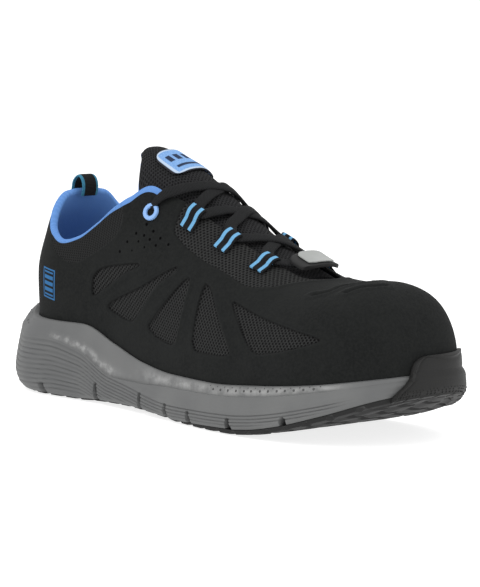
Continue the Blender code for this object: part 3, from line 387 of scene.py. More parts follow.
def gridFaces(rows, columns, closeRows=False, closeColumns=False, start=0, flip=False):
    down = np.arange(rows if closeRows else rows - 1)
    beside = np.arange(columns if closeColumns else columns - 1)
    i, j = (grid.ravel() for grid in np.meshgrid(down, beside, indexing="ij"))
    k, m = (i + 1) % rows, (j + 1) % columns
    quads = np.stack([i * columns + j, i * columns + m, k * columns + m, k * columns + j], -1) + start
    return (quads[:, ::-1] if flip else quads).tolist()


def outward(piece):
    # merged, and all faces turned outwards
    solid = bmesh.new()
    solid.from_mesh(piece.data)
    bmesh.ops.remove_doubles(solid, verts=solid.verts, dist=1e-6)
    bmesh.ops.recalc_face_normals(solid, faces=solid.faces)
    solid.to_mesh(piece.data)
    solid.free()
    return piece


def ringStack(name, rings, material, attributes, sharp):
    # rows of closed rings, the ends closed side to side
    rings = np.array(rings)
    rows, count = rings.shape[:2]
    faces = gridFaces(rows, count, closeColumns=True)
    half = count // 2
    for base in (0, (rows - 1) * count):
        faces.append([base, base + 1, base + count - 1])
        for i in range(1, half - 1):
            faces.append([base + i, base + i + 1, base + count - i - 1, base + count - i])
        faces.append([base + half - 1, base + half, base + half + 1])
    return outward(newPiece(name, rings.reshape(-1, 3), faces, material, attributes, sharp))


def slabPiece(name, outer, inner, material, attributes=None, sharp=40):
    # a closed sheet between two grids
    rows, columns = outer.shape[:2]
    size = rows * columns
    faces = gridFaces(rows, columns) + gridFaces(rows, columns, start=size, flip=True)
    border = [(0, j) for j in range(columns)] + [(i, columns - 1) for i in range(1, rows)]
    border += [(rows - 1, j) for j in range(columns - 2, -1, -1)] + [(i, 0) for i in range(rows - 2, 0, -1)]
    for k, (i, j) in enumerate(border):
        m, n = border[(k + 1) % len(border)]
        a, b = i * columns + j, m * columns + n
        faces.append([a, b, size + b, size + a])
    points = np.concatenate([outer.reshape(-1, 3), inner.reshape(-1, 3)])
    return outward(newPiece(name, points, faces, material, attributes, sharp))


def bandPiece(name, course, beside, normal, settings, material, sides, power, waist=None):
    # a flat band with rounded edges along a course
    turn = np.linspace(0.0, 2 * pi, sides, endpoint=False)
    across = np.sign(np.cos(turn)) * np.abs(np.cos(turn)) ** power
    up = np.sign(np.sin(turn)) * np.abs(np.sin(turn)) ** 0.9
    width, thickness = settings["width"] * mm, settings["thickness"] * mm
    scale = np.ones(len(course)) if waist is None else np.asarray(waist)
    points = (course[:, None] + beside[:, None] * (0.5 * width * scale[:, None] * across[None])[..., None]
              + normal[:, None] * (0.5 * thickness * up[None])[..., None])
    run = lengthsOf(course) / mm
    faces = gridFaces(len(course), sides, closeColumns=True)
    faces.append(list(range(sides)))
    faces.append(list(range(len(course) * sides - 1, (len(course) - 1) * sides - 1, -1)))
    attributes = {
        "run": np.repeat(run[:, None], sides, axis=1),
        "across": np.repeat(across[None] * 0.5 * width / mm, len(course), axis=0),
    }
    return outward(newPiece(name, points.reshape(-1, 3), faces, material, attributes, 60))


def smoothCourse(points, count):
    # a rounded run through a few chosen points
    points = np.asarray(points, float)
    t = lengthsOf(points)
    dense = np.linspace(0.0, t[-1], count)
    slope = np.gradient(points, t, axis=0)
    k = np.clip(np.searchsorted(t, dense, side="right") - 1, 0, len(t) - 2)
    h = (t[k + 1] - t[k])[:, None]
    return hermite((dense - t[k])[:, None] / h, k, h, points, slope)


def endsDenser(count):
    return np.sin(np.linspace(-pi / 2, pi / 2, count))


def unit(vectors):
    return vectors / np.maximum(np.linalg.norm(vectors, axis=-1), 1e-12)[..., None]


# Shader maths as plain sums
class Val:
    def __init__(self, shade, socket):
        self.shade = shade
        self.socket = socket

    def join(self, operation, *others):
        return self.shade.node("ShaderNodeMath", {"operation": operation}, dict(enumerate((self,) + others)))

    def __rsub__(self, other):
        return self.shade.node("ShaderNodeMath", {"operation": "SUBTRACT"}, {0: other, 1: self})

    def __abs__(self):
        return self.join("ABSOLUTE")

    def fraction(self):
        return self.join("FRACT")

    def floor(self):
        return self.join("FLOOR")

    def atLeast(self, other):
        return self.join("MAXIMUM", other)

    def ramp(self, low, high):
        inputs = {"Value": self, "From Min": low, "From Max": high}
        return self.shade.node("ShaderNodeMapRange", {"interpolation_type": "SMOOTHSTEP"}, inputs)


sums = {
    "__add__": "ADD", "__radd__": "ADD", "__sub__": "SUBTRACT", "__mul__": "MULTIPLY", "__rmul__": "MULTIPLY",
    "__truediv__": "DIVIDE",
}
for method, operation in sums.items():
    setattr(Val, method, lambda self, other, operation=operation: self.join(operation, other))


class Shade:
    def __init__(self, name, roughness, specular):
        self.material = bpy.data.materials.new(name)
        self.material.use_nodes = True
        self.tree = self.material.node_tree
        self.surface = self.tree.nodes["Principled BSDF"]
        self.put("Roughness", roughness)
        self.put("Coat Roughness", 0.3)
        self.put("Specular IOR Level", specular)

    def node(self, kind, settings=None, inputs=None, output=0):
        node = self.tree.nodes.new(kind)
        for key, value in (settings or {}).items():
            setattr(node, key, value)
        for key, value in (inputs or {}).items():
            if isinstance(value, Val):
                self.tree.links.new(value.socket, node.inputs[key])
            else:
                node.inputs[key].default_value = value
        return Val(self, node.outputs[output])

    def put(self, name, value):
        if isinstance(value, Val):
            self.tree.links.new(value.socket, self.surface.inputs[name])
        else:
            self.surface.inputs[name].default_value = value

    def place(self):
        return self.node("ShaderNodeTexCoord", output="Object")

    def read(self, name):
        return self.node("ShaderNodeAttribute", {"attribute_name": name}, output="Fac")

    def noise(self, scale, detail=3.0, roughness=0.55):
        inputs = {"Vector": self.place(), "Scale": scale, "Detail": detail, "Roughness": roughness}
        return self.node("ShaderNodeTexNoise", None, inputs, "Fac")

    def mix(self, factor, low, high):
        low = low if isinstance(low, Val) else (*low, 1.0)
        high = high if isinstance(high, Val) else (*high, 1.0)
        return self.node("ShaderNodeMix", {"data_type": "RGBA"}, {"Factor": factor, 6: low, 7: high}, 2)

    def bump(self, height, distance, strength=1.0):
        inputs = {"Height": height, "Distance": distance, "Strength": strength}
        self.put("Normal", self.node("ShaderNodeBump", None, inputs))

    def holes(self, u, v, pitchU, pitchV, wide, tall):
        # staggered rows of holes: 1 in a hole, 0 between
        row = (v / pitchV).floor()
        shifted = u / pitchU + 0.5 * row.join("MODULO", 2.0)
        left = (shifted.fraction() - 0.5) * (pitchU / wide)
        down = ((v / pitchV).fraction() - 0.5) * (pitchV / tall)
        return 1.0 - (left * left + down * down).join("SQRT").ramp(0.32, 0.60)


print("tools ready")

# Finishes
def makeUpperSkin():
    shade = Shade("nubuckAndMesh", 0.95, 0.16)
    run, girth = shade.read("run"), shade.read("girth")
    window, throat, collar = shade.read("window"), shade.read("throat"), shade.read("collar")
    edge, lining = shade.read("edge"), shade.read("lining").ramp(0.42, 0.58)
    inWindow = 1.0 - window.ramp(-0.18, 0.12)
    inThroat = 1.0 - throat.ramp(-0.15, 0.15)
    inCollar = 1.0 - collar.ramp(-0.15, 0.15)
    inMesh = inWindow.atLeast(inThroat.atLeast(inCollar))
    windowHoles = shade.holes(run, girth, 2.3, 1.45, 1.35, 1.40)
    throatHoles = shade.holes(run, girth, 2.2, 1.55, 1.25, 1.25)
    collarHoles = shade.holes(run + girth * 0.6, girth, 1.85, 1.30, 1.05, 1.02)
    otherHoles = inThroat * throatHoles + inCollar * collarHoles * 0.90
    holes = inWindow * windowHoles + (1.0 - inWindow) * otherHoles
    nap = shade.noise(1400.0, 4.0, 0.65)
    cloud = shade.noise(42.0, 3.0, 0.55)
    specks = (shade.noise(2600.0, 1.0, 0.5)).ramp(0.70, 0.80) * cloud.ramp(0.45, 0.70)
    pile = shade.noise(620.0, 5.0, 0.75)
    nubuck = shade.mix(pile.ramp(0.34, 0.66), (0.0060, 0.0067, 0.0067), (0.0114, 0.0122, 0.0118))
    nubuck = shade.mix(cloud.ramp(0.30, 0.75) * 0.5, nubuck, (0.0130, 0.0138, 0.0134))
    nubuck = shade.mix(specks * 0.30, nubuck, (0.10, 0.10, 0.09))
    # a lighter band on the skin just outside each window's edge
    lighterNearWindows = (1.0 - window.ramp(0.0, 1.4)) * window.ramp(-0.15, 0.15) * (0.35 + nap)
    nubuck = shade.mix(lighterNearWindows * 0.35, nubuck, (0.022, 0.023, 0.023))
    knit = shade.mix(nap.ramp(0.3, 0.7), (0.0150, 0.0155, 0.0155), (0.0320, 0.0325, 0.0320))
    knit = shade.mix(inCollar * 0.6, knit, (0.0120, 0.0125, 0.0125))
    # painted shade: the knit holes are painted near black for the shade inside them
    knit = shade.mix(holes, knit, (0.0012, 0.0012, 0.0014))
    outer = shade.mix(inMesh, nubuck, knit)
    # painted shade: a dark line just inside each window's edge and a softer one at the throat mesh edge, in
    # place of the shade at the sunk panel edges
    cut = 1.0 - (abs(window + 0.30)).ramp(0.15, 0.75)
    soft = 1.0 - (abs(throat + 0.10)).ramp(0.10, 0.55)
    outer = shade.mix((cut * 0.50).atLeast(soft * 0.45), outer, (0.0012, 0.0013, 0.0014))
    across = abs(run - heelPrint["run"])
    up = (girth - heelPrint["girth"] + (run - heelPrint["run"]) * 0.12)
    frameLine = (across - heelPrint["halfWidth"]).atLeast(abs(up) - heelPrint["halfHeight"])
    outline = 1.0 - (abs(frameLine) - 0.42).ramp(-0.12, 0.12)
    bars = abs((up / 3.4).fraction() - 0.5).ramp(0.16, 0.24) * (1.0 - (frameLine + 1.3).ramp(-0.2, 0.2))
    outer = shade.mix(outline.atLeast(bars) * shade.read("lateral"), outer, (0.030, 0.130, 0.30))
    weave = shade.holes(run, girth, 0.9, 0.55, 0.55, 0.45)
    cloth = shade.mix(weave * 0.5, (0.125, 0.270, 0.590), (0.070, 0.175, 0.440))
    blue = lining.atLeast(1.0 - (edge - shade.read("band")).ramp(-0.12, 0.12))
    shade.put("Base Color", shade.mix(blue, outer, cloth))
    relief = (nap * 0.12 + pile * 0.30) * (1.0 - inMesh) + (1.0 - holes) * 0.55 * inMesh
    relief = relief + window.ramp(-0.35, 0.35) * 0.9
    shade.bump(relief + throat.ramp(-0.25, 0.25) * 0.35 + collar.ramp(-0.25, 0.25) * 0.35, 0.00055, 0.9)
    return shade.material


def makeFoam():
    shade = Shade("greyFoam", 0.62, 0.30)
    fine, cloud = shade.noise(900.0, 3.0), shade.noise(30.0, 2.0)
    tone = shade.mix(cloud.ramp(0.3, 0.7), (0.110, 0.112, 0.113), (0.134, 0.136, 0.135))
    # painted shade in the rib grooves, darker where the grooves are deeper
    tone = shade.mix(shade.read("ribGrooveShade") * 0.55, tone, (0.060, 0.061, 0.062))
    # painted shade inside the flex notches
    tone = shade.mix(shade.read("notchAndShade") * 0.85, tone, (0.030, 0.030, 0.031))
    streak = shade.noise(150.0, 4.0, 0.65)
    # painted highlight: a pale streak on the glossy heel band above the swoop; the coat set below is real
    # gloss
    paintedHighlight = shade.read("glossAndHighlight") * streak.ramp(0.44, 0.72)
    tone = shade.mix(paintedHighlight * 0.42, tone, (0.50, 0.50, 0.49))
    # painted highlight: a pale streaked band near the forefoot rim, beside some real coat
    tone = shade.mix(shade.read("rimGlossAndHighlight") * streak.ramp(0.30, 0.70) * 0.60, tone, (0.36, 0.36, 0.355))
    shade.put("Base Color", shade.mix(fine.ramp(0.62, 0.75) * 0.25, tone, (0.10, 0.10, 0.10)))
    shade.put("Coat Weight", shade.read("glossAndHighlight") * 0.6 + shade.read("rimGlossAndHighlight") * 0.25)
    shade.bump(fine * 0.35 + streak * 0.25 * shade.read("glossAndHighlight"), 0.00018, 0.6)
    return shade.material


def makeRubber(name, tone, grip=1.0):
    shade = Shade(name, 0.58, 0.30)
    fine, cloud = shade.noise(1500.0, 3.0), shade.noise(55.0, 3.0)
    low = tuple(0.72 * value for value in tone)
    shade.put("Base Color", shade.mix(cloud.ramp(0.3, 0.75), low, tone))
    shade.put("Roughness", 0.50 + 0.22 * cloud)
    shade.bump(fine * grip, 0.00020, 0.6)
    return shade.material


webbingGround = (0.0075, 0.0077, 0.0085)


def makeWebbing(name, stripes=(), stripeWidth=1.3, stripe=(0.17, 0.43, 0.70), ground=webbingGround):
    shade = Shade(name, 0.92, 0.18)
    run, across = shade.read("run"), shade.read("across")
    ribs = abs((run / 0.75).fraction() - 0.5) * 2.0
    cross = abs((across / 0.9 + 0.5 * (run / 0.75).floor().join("MODULO", 2.0)).fraction() - 0.5)
    weave = ribs * 0.5 + cross
    colour = shade.mix(weave.ramp(0.2, 0.95), tuple(0.35 * v for v in ground), tuple(1.9 * v for v in ground))
    for place in stripes:
        mask = 1.0 - (abs(across - place) - stripeWidth).ramp(-0.15, 0.15)
        thread = shade.mix(weave.ramp(0.1, 0.8), tuple(0.7 * v for v in stripe), stripe)
        colour = shade.mix(mask, colour, thread)
    shade.put("Base Color", colour)
    shade.bump(weave, 0.00030, 0.9)
    return shade.material


def makeTongueCloth():
    shade = Shade("tongueMesh", 0.95, 0.15)
    along, across, side = shade.read("along"), shade.read("across"), shade.read("side")
    holes = shade.holes(along, across, 2.0, 1.50, 1.20, 1.20)
    fibre = shade.noise(1500.0, 3.0)
    knit = shade.mix(fibre.ramp(0.3, 0.7), (0.0120, 0.0120, 0.0128), (0.0260, 0.0260, 0.0275))
    # painted shade: the knit holes are painted near black for the shade inside them
    knit = shade.mix(holes * 0.9, knit, (0.0015, 0.0015, 0.0018))
    trim = side.ramp(0.955, 0.975)
    shade.put("Base Color", shade.mix(trim, knit, (0.06, 0.22, 0.56)))
    shade.bump((1.0 - holes) * 0.8 + fibre * 0.3, 0.00040, 0.9)
    return shade.material


def makePlain(name, tone, roughness, grain=900.0, level=0.4, depth=0.00008):
    shade = Shade(name, roughness, level)
    fine, cloud = shade.noise(grain, 3.0), shade.noise(60.0, 2.0)
    low = tuple(0.86 * value for value in tone)
    shade.put("Base Color", shade.mix(cloud.ramp(0.3, 0.7), low, tone))
    shade.bump(fine, depth, 0.5)
    return shade.material


def makePatch():
    shade = Shade("tonguePatch", 0.8, 0.2)
    u, v = shade.read("u"), shade.read("v")
    rimLine = abs(u).atLeast(abs(v))
    thread = shade.noise(1700.0, 2.0)
    field = shade.mix(thread.ramp(0.3, 0.7), (0.13, 0.27, 0.53), (0.22, 0.39, 0.68))
    bar = 1.0 - (abs(v + 0.22) - 0.24).ramp(-0.03, 0.03)
    bar = bar * abs((u * 2.6 + 0.5).fraction() - 0.5).ramp(0.16, 0.20)
    low = 1.0 - (abs(v - 0.48) - 0.09).ramp(-0.03, 0.03)
    bar = bar.atLeast(low) * (1.0 - (abs(u) - 0.68).ramp(-0.02, 0.02))
    field = shade.mix(bar, field, (0.014, 0.026, 0.062))
    field = shade.mix(rimLine.ramp(0.82, 0.86), field, (0.42, 0.52, 0.66))
    shade.put("Base Color", shade.mix(rimLine.ramp(0.93, 0.96), field, (0.02, 0.02, 0.025)))
    shade.bump(thread + rimLine.ramp(0.78, 0.84), 0.00020, 0.8)
    return shade.material


heelPrint = {"at": 0.110, "share": 0.165, "halfWidth": 5.6, "halfHeight": 8.0}
heelPrint["run"], heelPrint["girth"] = chartOfShares([(heelPrint["at"], heelPrint["share"])])[0]

upperSkin = makeUpperSkin()
foamSkin = makeFoam()
bumperRubber = makeRubber("bumperRubber", (0.0090, 0.0089, 0.0085))
treadRubber = makeRubber("treadRubber", (0.010, 0.010, 0.010))
loopWebbing = makeWebbing("loopWebbing", (-2.9, 2.9), 1.05)
pullWebbing = makeWebbing("pullWebbing", (-5.1, 5.1), 0.9, (0.05, 0.22, 0.34))
laceCloth = makeWebbing("laceCloth", ground=(0.0120, 0.0123, 0.0130))
tongueCloth = makeTongueCloth()
ringPlastic = makePlain("ringPlastic", (0.24, 0.43, 0.78), 0.45)
keeperPlastic = makePlain("keeperPlastic", (0.019, 0.019, 0.019), 0.62, 1300.0, 0.25, 0.00015)
platePlastic = makePlain("platePlastic", (0.33, 0.34, 0.33), 0.5, 700.0, 0.3, 0.00015)
insoleCloth = makePlain("insoleCloth", (0.055, 0.145, 0.38), 0.9, 1400.0, 0.1, 0.0003)
# near black disks for the punched holes: painted shade
paintedHoleShade = makePlain("paintedHoleShade", (0.0012, 0.0012, 0.0014), 0.95, 900.0, 0.05)
patchCloth = makePatch()
print("finishes ready")


# The upper: one shell with sunk mesh panels, soft creases and a blue lining rolled over the collar
upperShell = {
    "ankle": 26, "sides": 176, "fan": 150, "rows": 88, "insideRows": 12,
    "windowDepth": 1.15, "meshDepth": 0.35, "creaseDepth": 1.15,
}
windowPanels = [
    [(0.241, 0.144), (0.241, 0.231), (0.258, 0.288), (0.299, 0.363), (0.380, 0.488), (0.384, 0.475),
     (0.334, 0.363), (0.253, 0.156)],
    [(0.287, 0.138), (0.303, 0.194), (0.487, 0.644), (0.487, 0.600), (0.439, 0.450), (0.377, 0.175),
     (0.349, 0.150)],
    [(0.422, 0.200), (0.441, 0.269), (0.525, 0.650), (0.532, 0.575), (0.522, 0.206), (0.506, 0.175),
     (0.451, 0.175)],
    [(0.570, 0.188), (0.568, 0.644), (0.572, 0.669), (0.591, 0.656), (0.687, 0.269), (0.656, 0.225)],
    [(0.649, 0.650), (0.653, 0.675), (0.727, 0.655), (0.815, 0.585), (0.872, 0.500), (0.886, 0.462),
     (0.872, 0.425), (0.815, 0.355), (0.750, 0.300), (0.727, 0.344)],
]
collarPanel = [
    (0.103, 0.350), (0.132, 0.306), (0.172, 0.269), (0.208, 0.288), (0.251, 0.363), (0.289, 0.456),
    (0.313, 0.550), (0.318, 0.631), (0.303, 0.700), (0.270, 0.800), (0.180, 0.800), (0.105, 0.520),
]
throatLow = [
    (0.446, 0.825), (0.451, 0.763), (0.489, 0.750), (0.525, 0.756), (0.553, 0.763), (0.577, 0.781),
    (0.625, 0.794), (0.656, 0.794), (0.682, 0.825), (0.699, 0.869),
]
throatFront = [(0.705, -32.5), (0.723, -25.0), (0.739, -17.5), (0.755, -9.4), (0.758, -0.01)]
# places along the foot and distances from its middle
creaseLines = [
    [(0.805, -31.0), (0.832, -26.3), (0.834, -18.1), (0.855, -12.5), (0.860, -4.0)],
    [(0.872, -27.0), (0.880, -19.0), (0.893, -12.0), (0.900, -6.0)],
    [(0.815, 22.0), (0.832, 13.0), (0.842, 6.0)],
]

# in millimetres, beyond every pattern's edge
farAway = 9.0


def wallThickness(columns, level):
    at = np.clip(sharesOf(columns), 0.0, 1.0)
    padded = 1.0 - ease(last["cornerAt"] - 0.06, last["cornerAt"] + 0.02, at)
    return last["wall"] + (last["collarPad"] - last["wall"]) * padded * ease(0.45, 0.85, level)[None]


def softened(corners, passes=2, share=0.16):
    # cuts the corners of an outline, so that it curves
    for _ in range(passes):
        ahead = np.roll(corners, -1, 0)
        pairs = [corners + share * (ahead - corners), ahead + share * (corners - ahead)]
        corners = np.stack(pairs, 1).reshape(-1, 2)
    return corners


def makeUpperShell(settings):
    rows = settings["rows"]
    levels = np.linspace(0.0, 1.0, rows)
    outer = skinColumns(levels, settings["ankle"], settings["sides"], settings["fan"])
    normals = gridNormals(outer)
    at, across, run, girth = chartOfPoints(outer)
    count = len(outer)
    thick = wallThickness(outer, levels)
    ring, plan = outer[:, 0], planNormals(outer[:, 0])
    inner = outer - normals * thick[..., None]
    inner[:, 0] = offsetRing(ring, plan, -last["wall"], rim)
    rise = unit(outer[:, -1] - outer[:, -2])
    middle, halfWall = 0.5 * (outer[:, -1] + inner[:, -1]), 0.5 * (outer[:, -1] - inner[:, -1])
    windows = [softened(chartOfShares(panel)) for panel in windowPanels]
    window = np.min([patchDistance(run, girth, panel) for panel in windows], axis=0)
    collar = patchDistance(run, girth, softened(chartOfShares(collarPanel), 2, 0.25))
    top = [(chartOf(np.array([x]), np.array([pi / 2]))[0][0], 140.0) for x in (0.758, 0.43)]
    throatLine = np.concatenate([chartOfShares(throatLow), chartOfWidths(throatFront), top])
    throat = patchDistance(run, girth, softened(throatLine, 2, 0.20))
    inWindow, inThroat, inCollar = (ease(0.45, -0.45, value) for value in (window, throat, collar))
    height = -settings["windowDepth"] * inWindow - settings["meshDepth"] * np.maximum(inThroat, inCollar)
    height += 0.22 * hump(window, 1.4, 1.1) * (window > 0)
    height += 0.28 * hump(throat, 1.6, 1.2) * (throat > 0)
    place = np.stack([at * last["length"] / mm, across / mm], -1)
    for line in creaseLines:
        course = smoothCourse([(x * last["length"] / mm, y, 0.0) for x, y in line], 24)[:, :2]
        gap = lineDistance(place[..., 0], place[..., 1], course)
        height += settings["creaseDepth"] * (0.55 * hump(gap, 2.6, 1.5) - hump(gap, 0.0, 0.9))
    height += 0.18 * np.sin(run * 0.11) * np.sin(girth * 0.13 + 1.0) * (1.0 - np.maximum(inWindow, inThroat))
    height *= ease(0.0, 3.0, girth)
    outer = outer + normals * (height * mm)[..., None]
    edge = girth[:, -1:] - girth
    band = (0.35 + 2.1 * ease(0.25, 0.33, at)) * (1.0 - ease(0.385, 0.41, at))
    outer += normals * (0.35 * mm * ease(band, band - 0.9, edge) * (band > 0.2))[..., None]
    shift = (outer[:, -1] - (middle + halfWall))[:, None]
    crown = []
    for turn in np.linspace(0.0, pi, 7)[1:-1]:
        crown.append(middle + shift[:, 0] * (1 + cos(turn)) / 2 + halfWall * cos(turn)
                     + rise * (0.42 * thick[:, -1] * sin(turn))[:, None])
    pick = np.linspace(rows - 1, 0, settings["insideRows"]).round().astype(int)
    seat = lambda x: footbed(x) + last["gap"]
    rings = [offsetRing(ring, plan, 0.0, seat)] + [outer[:, j] for j in range(rows)] + crown
    rings += [inner[:, j] for j in pick] + [offsetRing(ring, plan, -last["wall"], seat)]
    source = [0] + list(range(rows)) + [rows - 1] * len(crown) + list(pick) + [0]
    outside = np.array([1.0] * (rows + 1) + [0.0] * (len(rings) - rows - 1))[:, None]
    crownRows = np.zeros((len(rings), 1))
    crownRows[rows + 1:rows + 1 + len(crown)] = 1.0
    atRows = at[:, source].T
    collarPart = 1.0 - ease(0.385, 0.41, atRows)
    crownShare = np.zeros((len(rings), 1))
    crownShare[rows + 1:rows + 1 + len(crown), 0] = np.linspace(0.0, 1.0, 7)[1:-1]
    crownShare[rows + 1 + len(crown):] = 1.0
    blackTo = 0.97 - 0.85 * ease(0.06, 0.20, atRows)
    crownBlue = ease(blackTo - 0.10, blackTo + 0.10, crownShare)
    grids = {"run": run, "girth": girth, "edge": edge, "band": band, "lateral": across < 0}
    values = {key: grid[:, source].T for key, grid in grids.items()}
    for key, grid in (("window", window), ("throat", throat), ("collar", collar)):
        values[key] = grid[:, source].T * outside + farAway * (1 - outside)
    values["lateral"] = values["lateral"] * outside
    blue = np.maximum(1.0 - crownRows, collarPart * crownBlue)
    values["lining"] = (1 - outside) * blue * (1 - ease(0.58, 0.64, atRows))
    values["edge"] = np.where(values["band"] < 0.2, farAway, values["edge"] * outside)
    values["band"] = np.maximum(values["band"], 0.0)
    faces = gridFaces(len(rings), count, closeRows=True, closeColumns=True)
    return outward(newPiece("upperShell", np.array(rings).reshape(-1, 3), faces, upperSkin, values, 50))


upperPiece = makeUpperShell(upperShell)
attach(upperPiece, "root")
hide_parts("upper")
print("upper ready")


# The midsole: a grey foam wedge with a swoop, fine ribs under it and flex notches in its lower edge
midsoleFoam = {
    "ankle": 26, "sides": 240, "fan": 216, "lowRows": 46, "highRows": 16, "ribPitch": 1.75, "ribDepth": 0.50,
    "stepDepth": 1.3, "notchWidth": 3.4, "notchDepth": 9.0, "notchReach": 5.0,
}
# at, share of the depth
flexNotches = [
    (0.134, 0.62), (0.280, 1.00), (0.425, 0.95), (0.514, 0.80), (0.588, 0.66), (0.697, 0.60),
    (0.828, 0.45),
]


def swoop(at):
    return curve(soleTable, 4, at)


def flare(at):
    return last["soleFlare"] * curve(soleTable, 3, at)


def sideOffset(at, share):
    step = swoop(at)
    below = curve(sideBelow, 1, np.clip(share / step, 0.0, 1.0))
    above = curve(sideAbove, 1, np.clip((share - step) / (1.0 - step), 0.0, 1.0))
    return np.where(share < step, flare(at) * below, flare(at) * above)


def soleBase(at):
    return lift(at) + last["outsole"] * (0.45 + 0.55 * ease(0.45, 0.75, at))


def soleHeight(at, share):
    return soleBase(at) + (rim(at) - soleBase(at)) * share


def makeMidsole(settings):
    ring = skinColumns(np.array([0.0]), settings["ankle"], settings["sides"], settings["fan"])[:, 0]
    plan, ats = planNormals(ring), sharesOf(ring)
    low = np.linspace(0.0, 1.0, settings["lowRows"]) ** 1.05
    high = np.linspace(0.02, 0.98, settings["highRows"])
    step = swoop(ats)
    plain = 1.0 - ease(0.90, 0.95, ats)
    shares = [(level * step * 0.985, 0.0) for level in low]
    shares += [(step + (1.0 - step) * level, level) for level in high]
    rings, notches, glosses, bands, ribs = [], [], [], [], []
    for share, above in shares:
        tall = (rim(ats) - soleBase(ats)) / mm
        up = share * tall
        ribTop = tall * step * (0.97 - 0.50 * ease(0.30, 0.52, ats))
        inRibs = ease(ribTop + 0.4, ribTop - 0.4, up) * ease(1.2, 2.4, up) * plain
        pitch = settings["ribPitch"] * (1.0 + 0.55 * (1.0 - ease(0.10, 0.32, ats)))
        groove = 0.5 - 0.5 * np.cos(2 * pi * (ribTop - up) / pitch)
        sunk = settings["ribDepth"] * groove**3 * inRibs
        # the groove depth, also kept for painted shade in the grooves
        ribs.append(groove**3 * inRibs)
        sunk = sunk + settings["stepDepth"] * (above > 0) * (1.0 - above) * plain
        sunk = sunk - 0.20 * hump(up - ribTop, 1.6, 1.2) * (above == 0)
        notchAndShade = np.zeros(len(ring))
        for x, depth in flexNotches:
            deep = settings["notchDepth"] * depth
            half = 0.5 * settings["notchWidth"] * (1.0 - 0.62 * np.clip(up / deep, 0, 1))
            off = np.abs(ring[:, 0] - along(x)) / mm
            notchAndShade = np.maximum(notchAndShade, ease(half + 0.45, half - 0.35, off) * ease(deep + 0.7, deep - 0.5, up))
        notchAndShade = notchAndShade * (ats < 0.93)
        distance = sideOffset(ats, share) - (sunk + settings["notchReach"] * notchAndShade) * mm
        rings.append(offsetRing(ring, plan, distance, lambda x, share=share: soleHeight(x, share)))
        # the notch mask also carries painted shade into the notches
        notches.append(notchAndShade)
        # the heel band and the forefoot rim band each carry real coat and a painted highlight
        shiny = ease(0.13, 0.17, ats) * (1 - ease(0.33, 0.40, ats))
        glosses.append(shiny * (above > 0) * hump(above, 0.16, 0.15))
        # the rim band gives a painted highlight and some real coat
        bands.append(ease(0.38, 0.50, ats) * (above > 0) * hump(above, 0.45, 0.40) * plain)
    lip = flare(ats) * sideAbove[-1][1]
    rings.append(offsetRing(ring, plan, lip + 0.3 * mm, lambda x: rim(x) - 0.1 * mm))
    rings.append(offsetRing(ring, plan, lip - 0.2 * mm, lambda x: rim(x) + 0.15 * mm))
    rings.append(offsetRing(ring, plan, last["gap"], lambda x: rim(x) - 0.05 * mm))
    rings.append(offsetRing(ring, plan, last["gap"], footbed))
    spare = [np.zeros(len(ring))] * 4
    values = {
        "notchAndShade": notches + spare, "ribGrooveShade": ribs + spare, "glossAndHighlight": glosses + spare, "rimGlossAndHighlight": bands + spare,
    }
    values = {key: np.array(value) for key, value in values.items()}
    return ringStack("midsoleFoam", rings, foamSkin, values, 50)


midsolePiece = makeMidsole(midsoleFoam)
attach(midsolePiece, "root")
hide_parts("midsole")
print("midsole ready")


# The tread: thin rubber with cross grooves, cut into lugs
treadSole = {
    "columns": 300, "across": 40, "inset": 3.0, "groovePitch": 11.8, "grooveWidth": 3.2, "grooveDepth": 1.9,
}


def makeTread(settings):
    ring = skinColumns(np.array([0.0]), 26, 150, 160)[:, 0]
    plan, ats = planNormals(ring), sharesOf(ring)
    inset = settings["inset"] * mm * (1.0 - ease(0.50, 0.70, ats))
    edge = offsetRing(ring, plan, flare(ats) * sideBelow[0][1] - inset, lift)
    turn = np.linspace(0.0, pi, settings["columns"])
    middleX, halfX = 0.5 * (edge[:, 0].max() + edge[:, 0].min()), 0.4999 * np.ptp(edge[:, 0])
    x = middleX - halfX * (0.85 * np.cos(turn) + 0.15 * (1 - 2 * turn / pi))
    sides = []
    front = np.argmax(edge[:, 0])
    for rows in (edge[:front + 1], np.concatenate([edge[front:], edge[:1]])):
        order = np.argsort(rows[:, 0])
        sides.append(np.interp(x, rows[order, 0], rows[order, 1]))
    share = endsDenser(settings["across"])[None]
    y = 0.5 * (sides[0] + sides[1])[:, None] + 0.5 * (sides[1] - sides[0])[:, None] * share
    at = shareAt(x)
    phase = ((x / mm + 1.6) / settings["groovePitch"]) % 1.0
    near = np.abs(phase - 0.5) * settings["groovePitch"]
    groove = ease(0.5 * settings["grooveWidth"] + 0.4, 0.5 * settings["grooveWidth"] - 0.4, near)[:, None]
    lengthwise = ease(1.5, 0.9, np.abs(np.abs(share) * 3.0 % 1.5 - 0.75) * 4.0)
    cut = np.maximum(groove, 0.7 * lengthwise * (np.abs(share) < 0.93))
    thin = (soleBase(at) - lift(at))[:, None]
    bottom = np.minimum(settings["grooveDepth"] * mm, 0.6 * thin) * cut
    roundOver = 0.25 * thin * np.abs(share) ** 12
    lower = np.stack([np.broadcast_to(x[:, None], y.shape), y, lift(at)[:, None] + bottom + roundOver], -1)
    upper = lower.copy()
    upper[..., 2] = (soleBase(at) - 0.3 * mm)[:, None]
    return slabPiece("treadSole", lower[:, ::-1], upper[:, ::-1], treadRubber, sharp=30)


# The toe bumper: rubber turned up over the toe, with a rounded bead along its edge
toeBumper = {
    "thickness": 2.2, "height": 47.5, "turn": 101.0, "stations": 130, "rows": 74, "bead": 0.75, "tuck": 6.0,
}
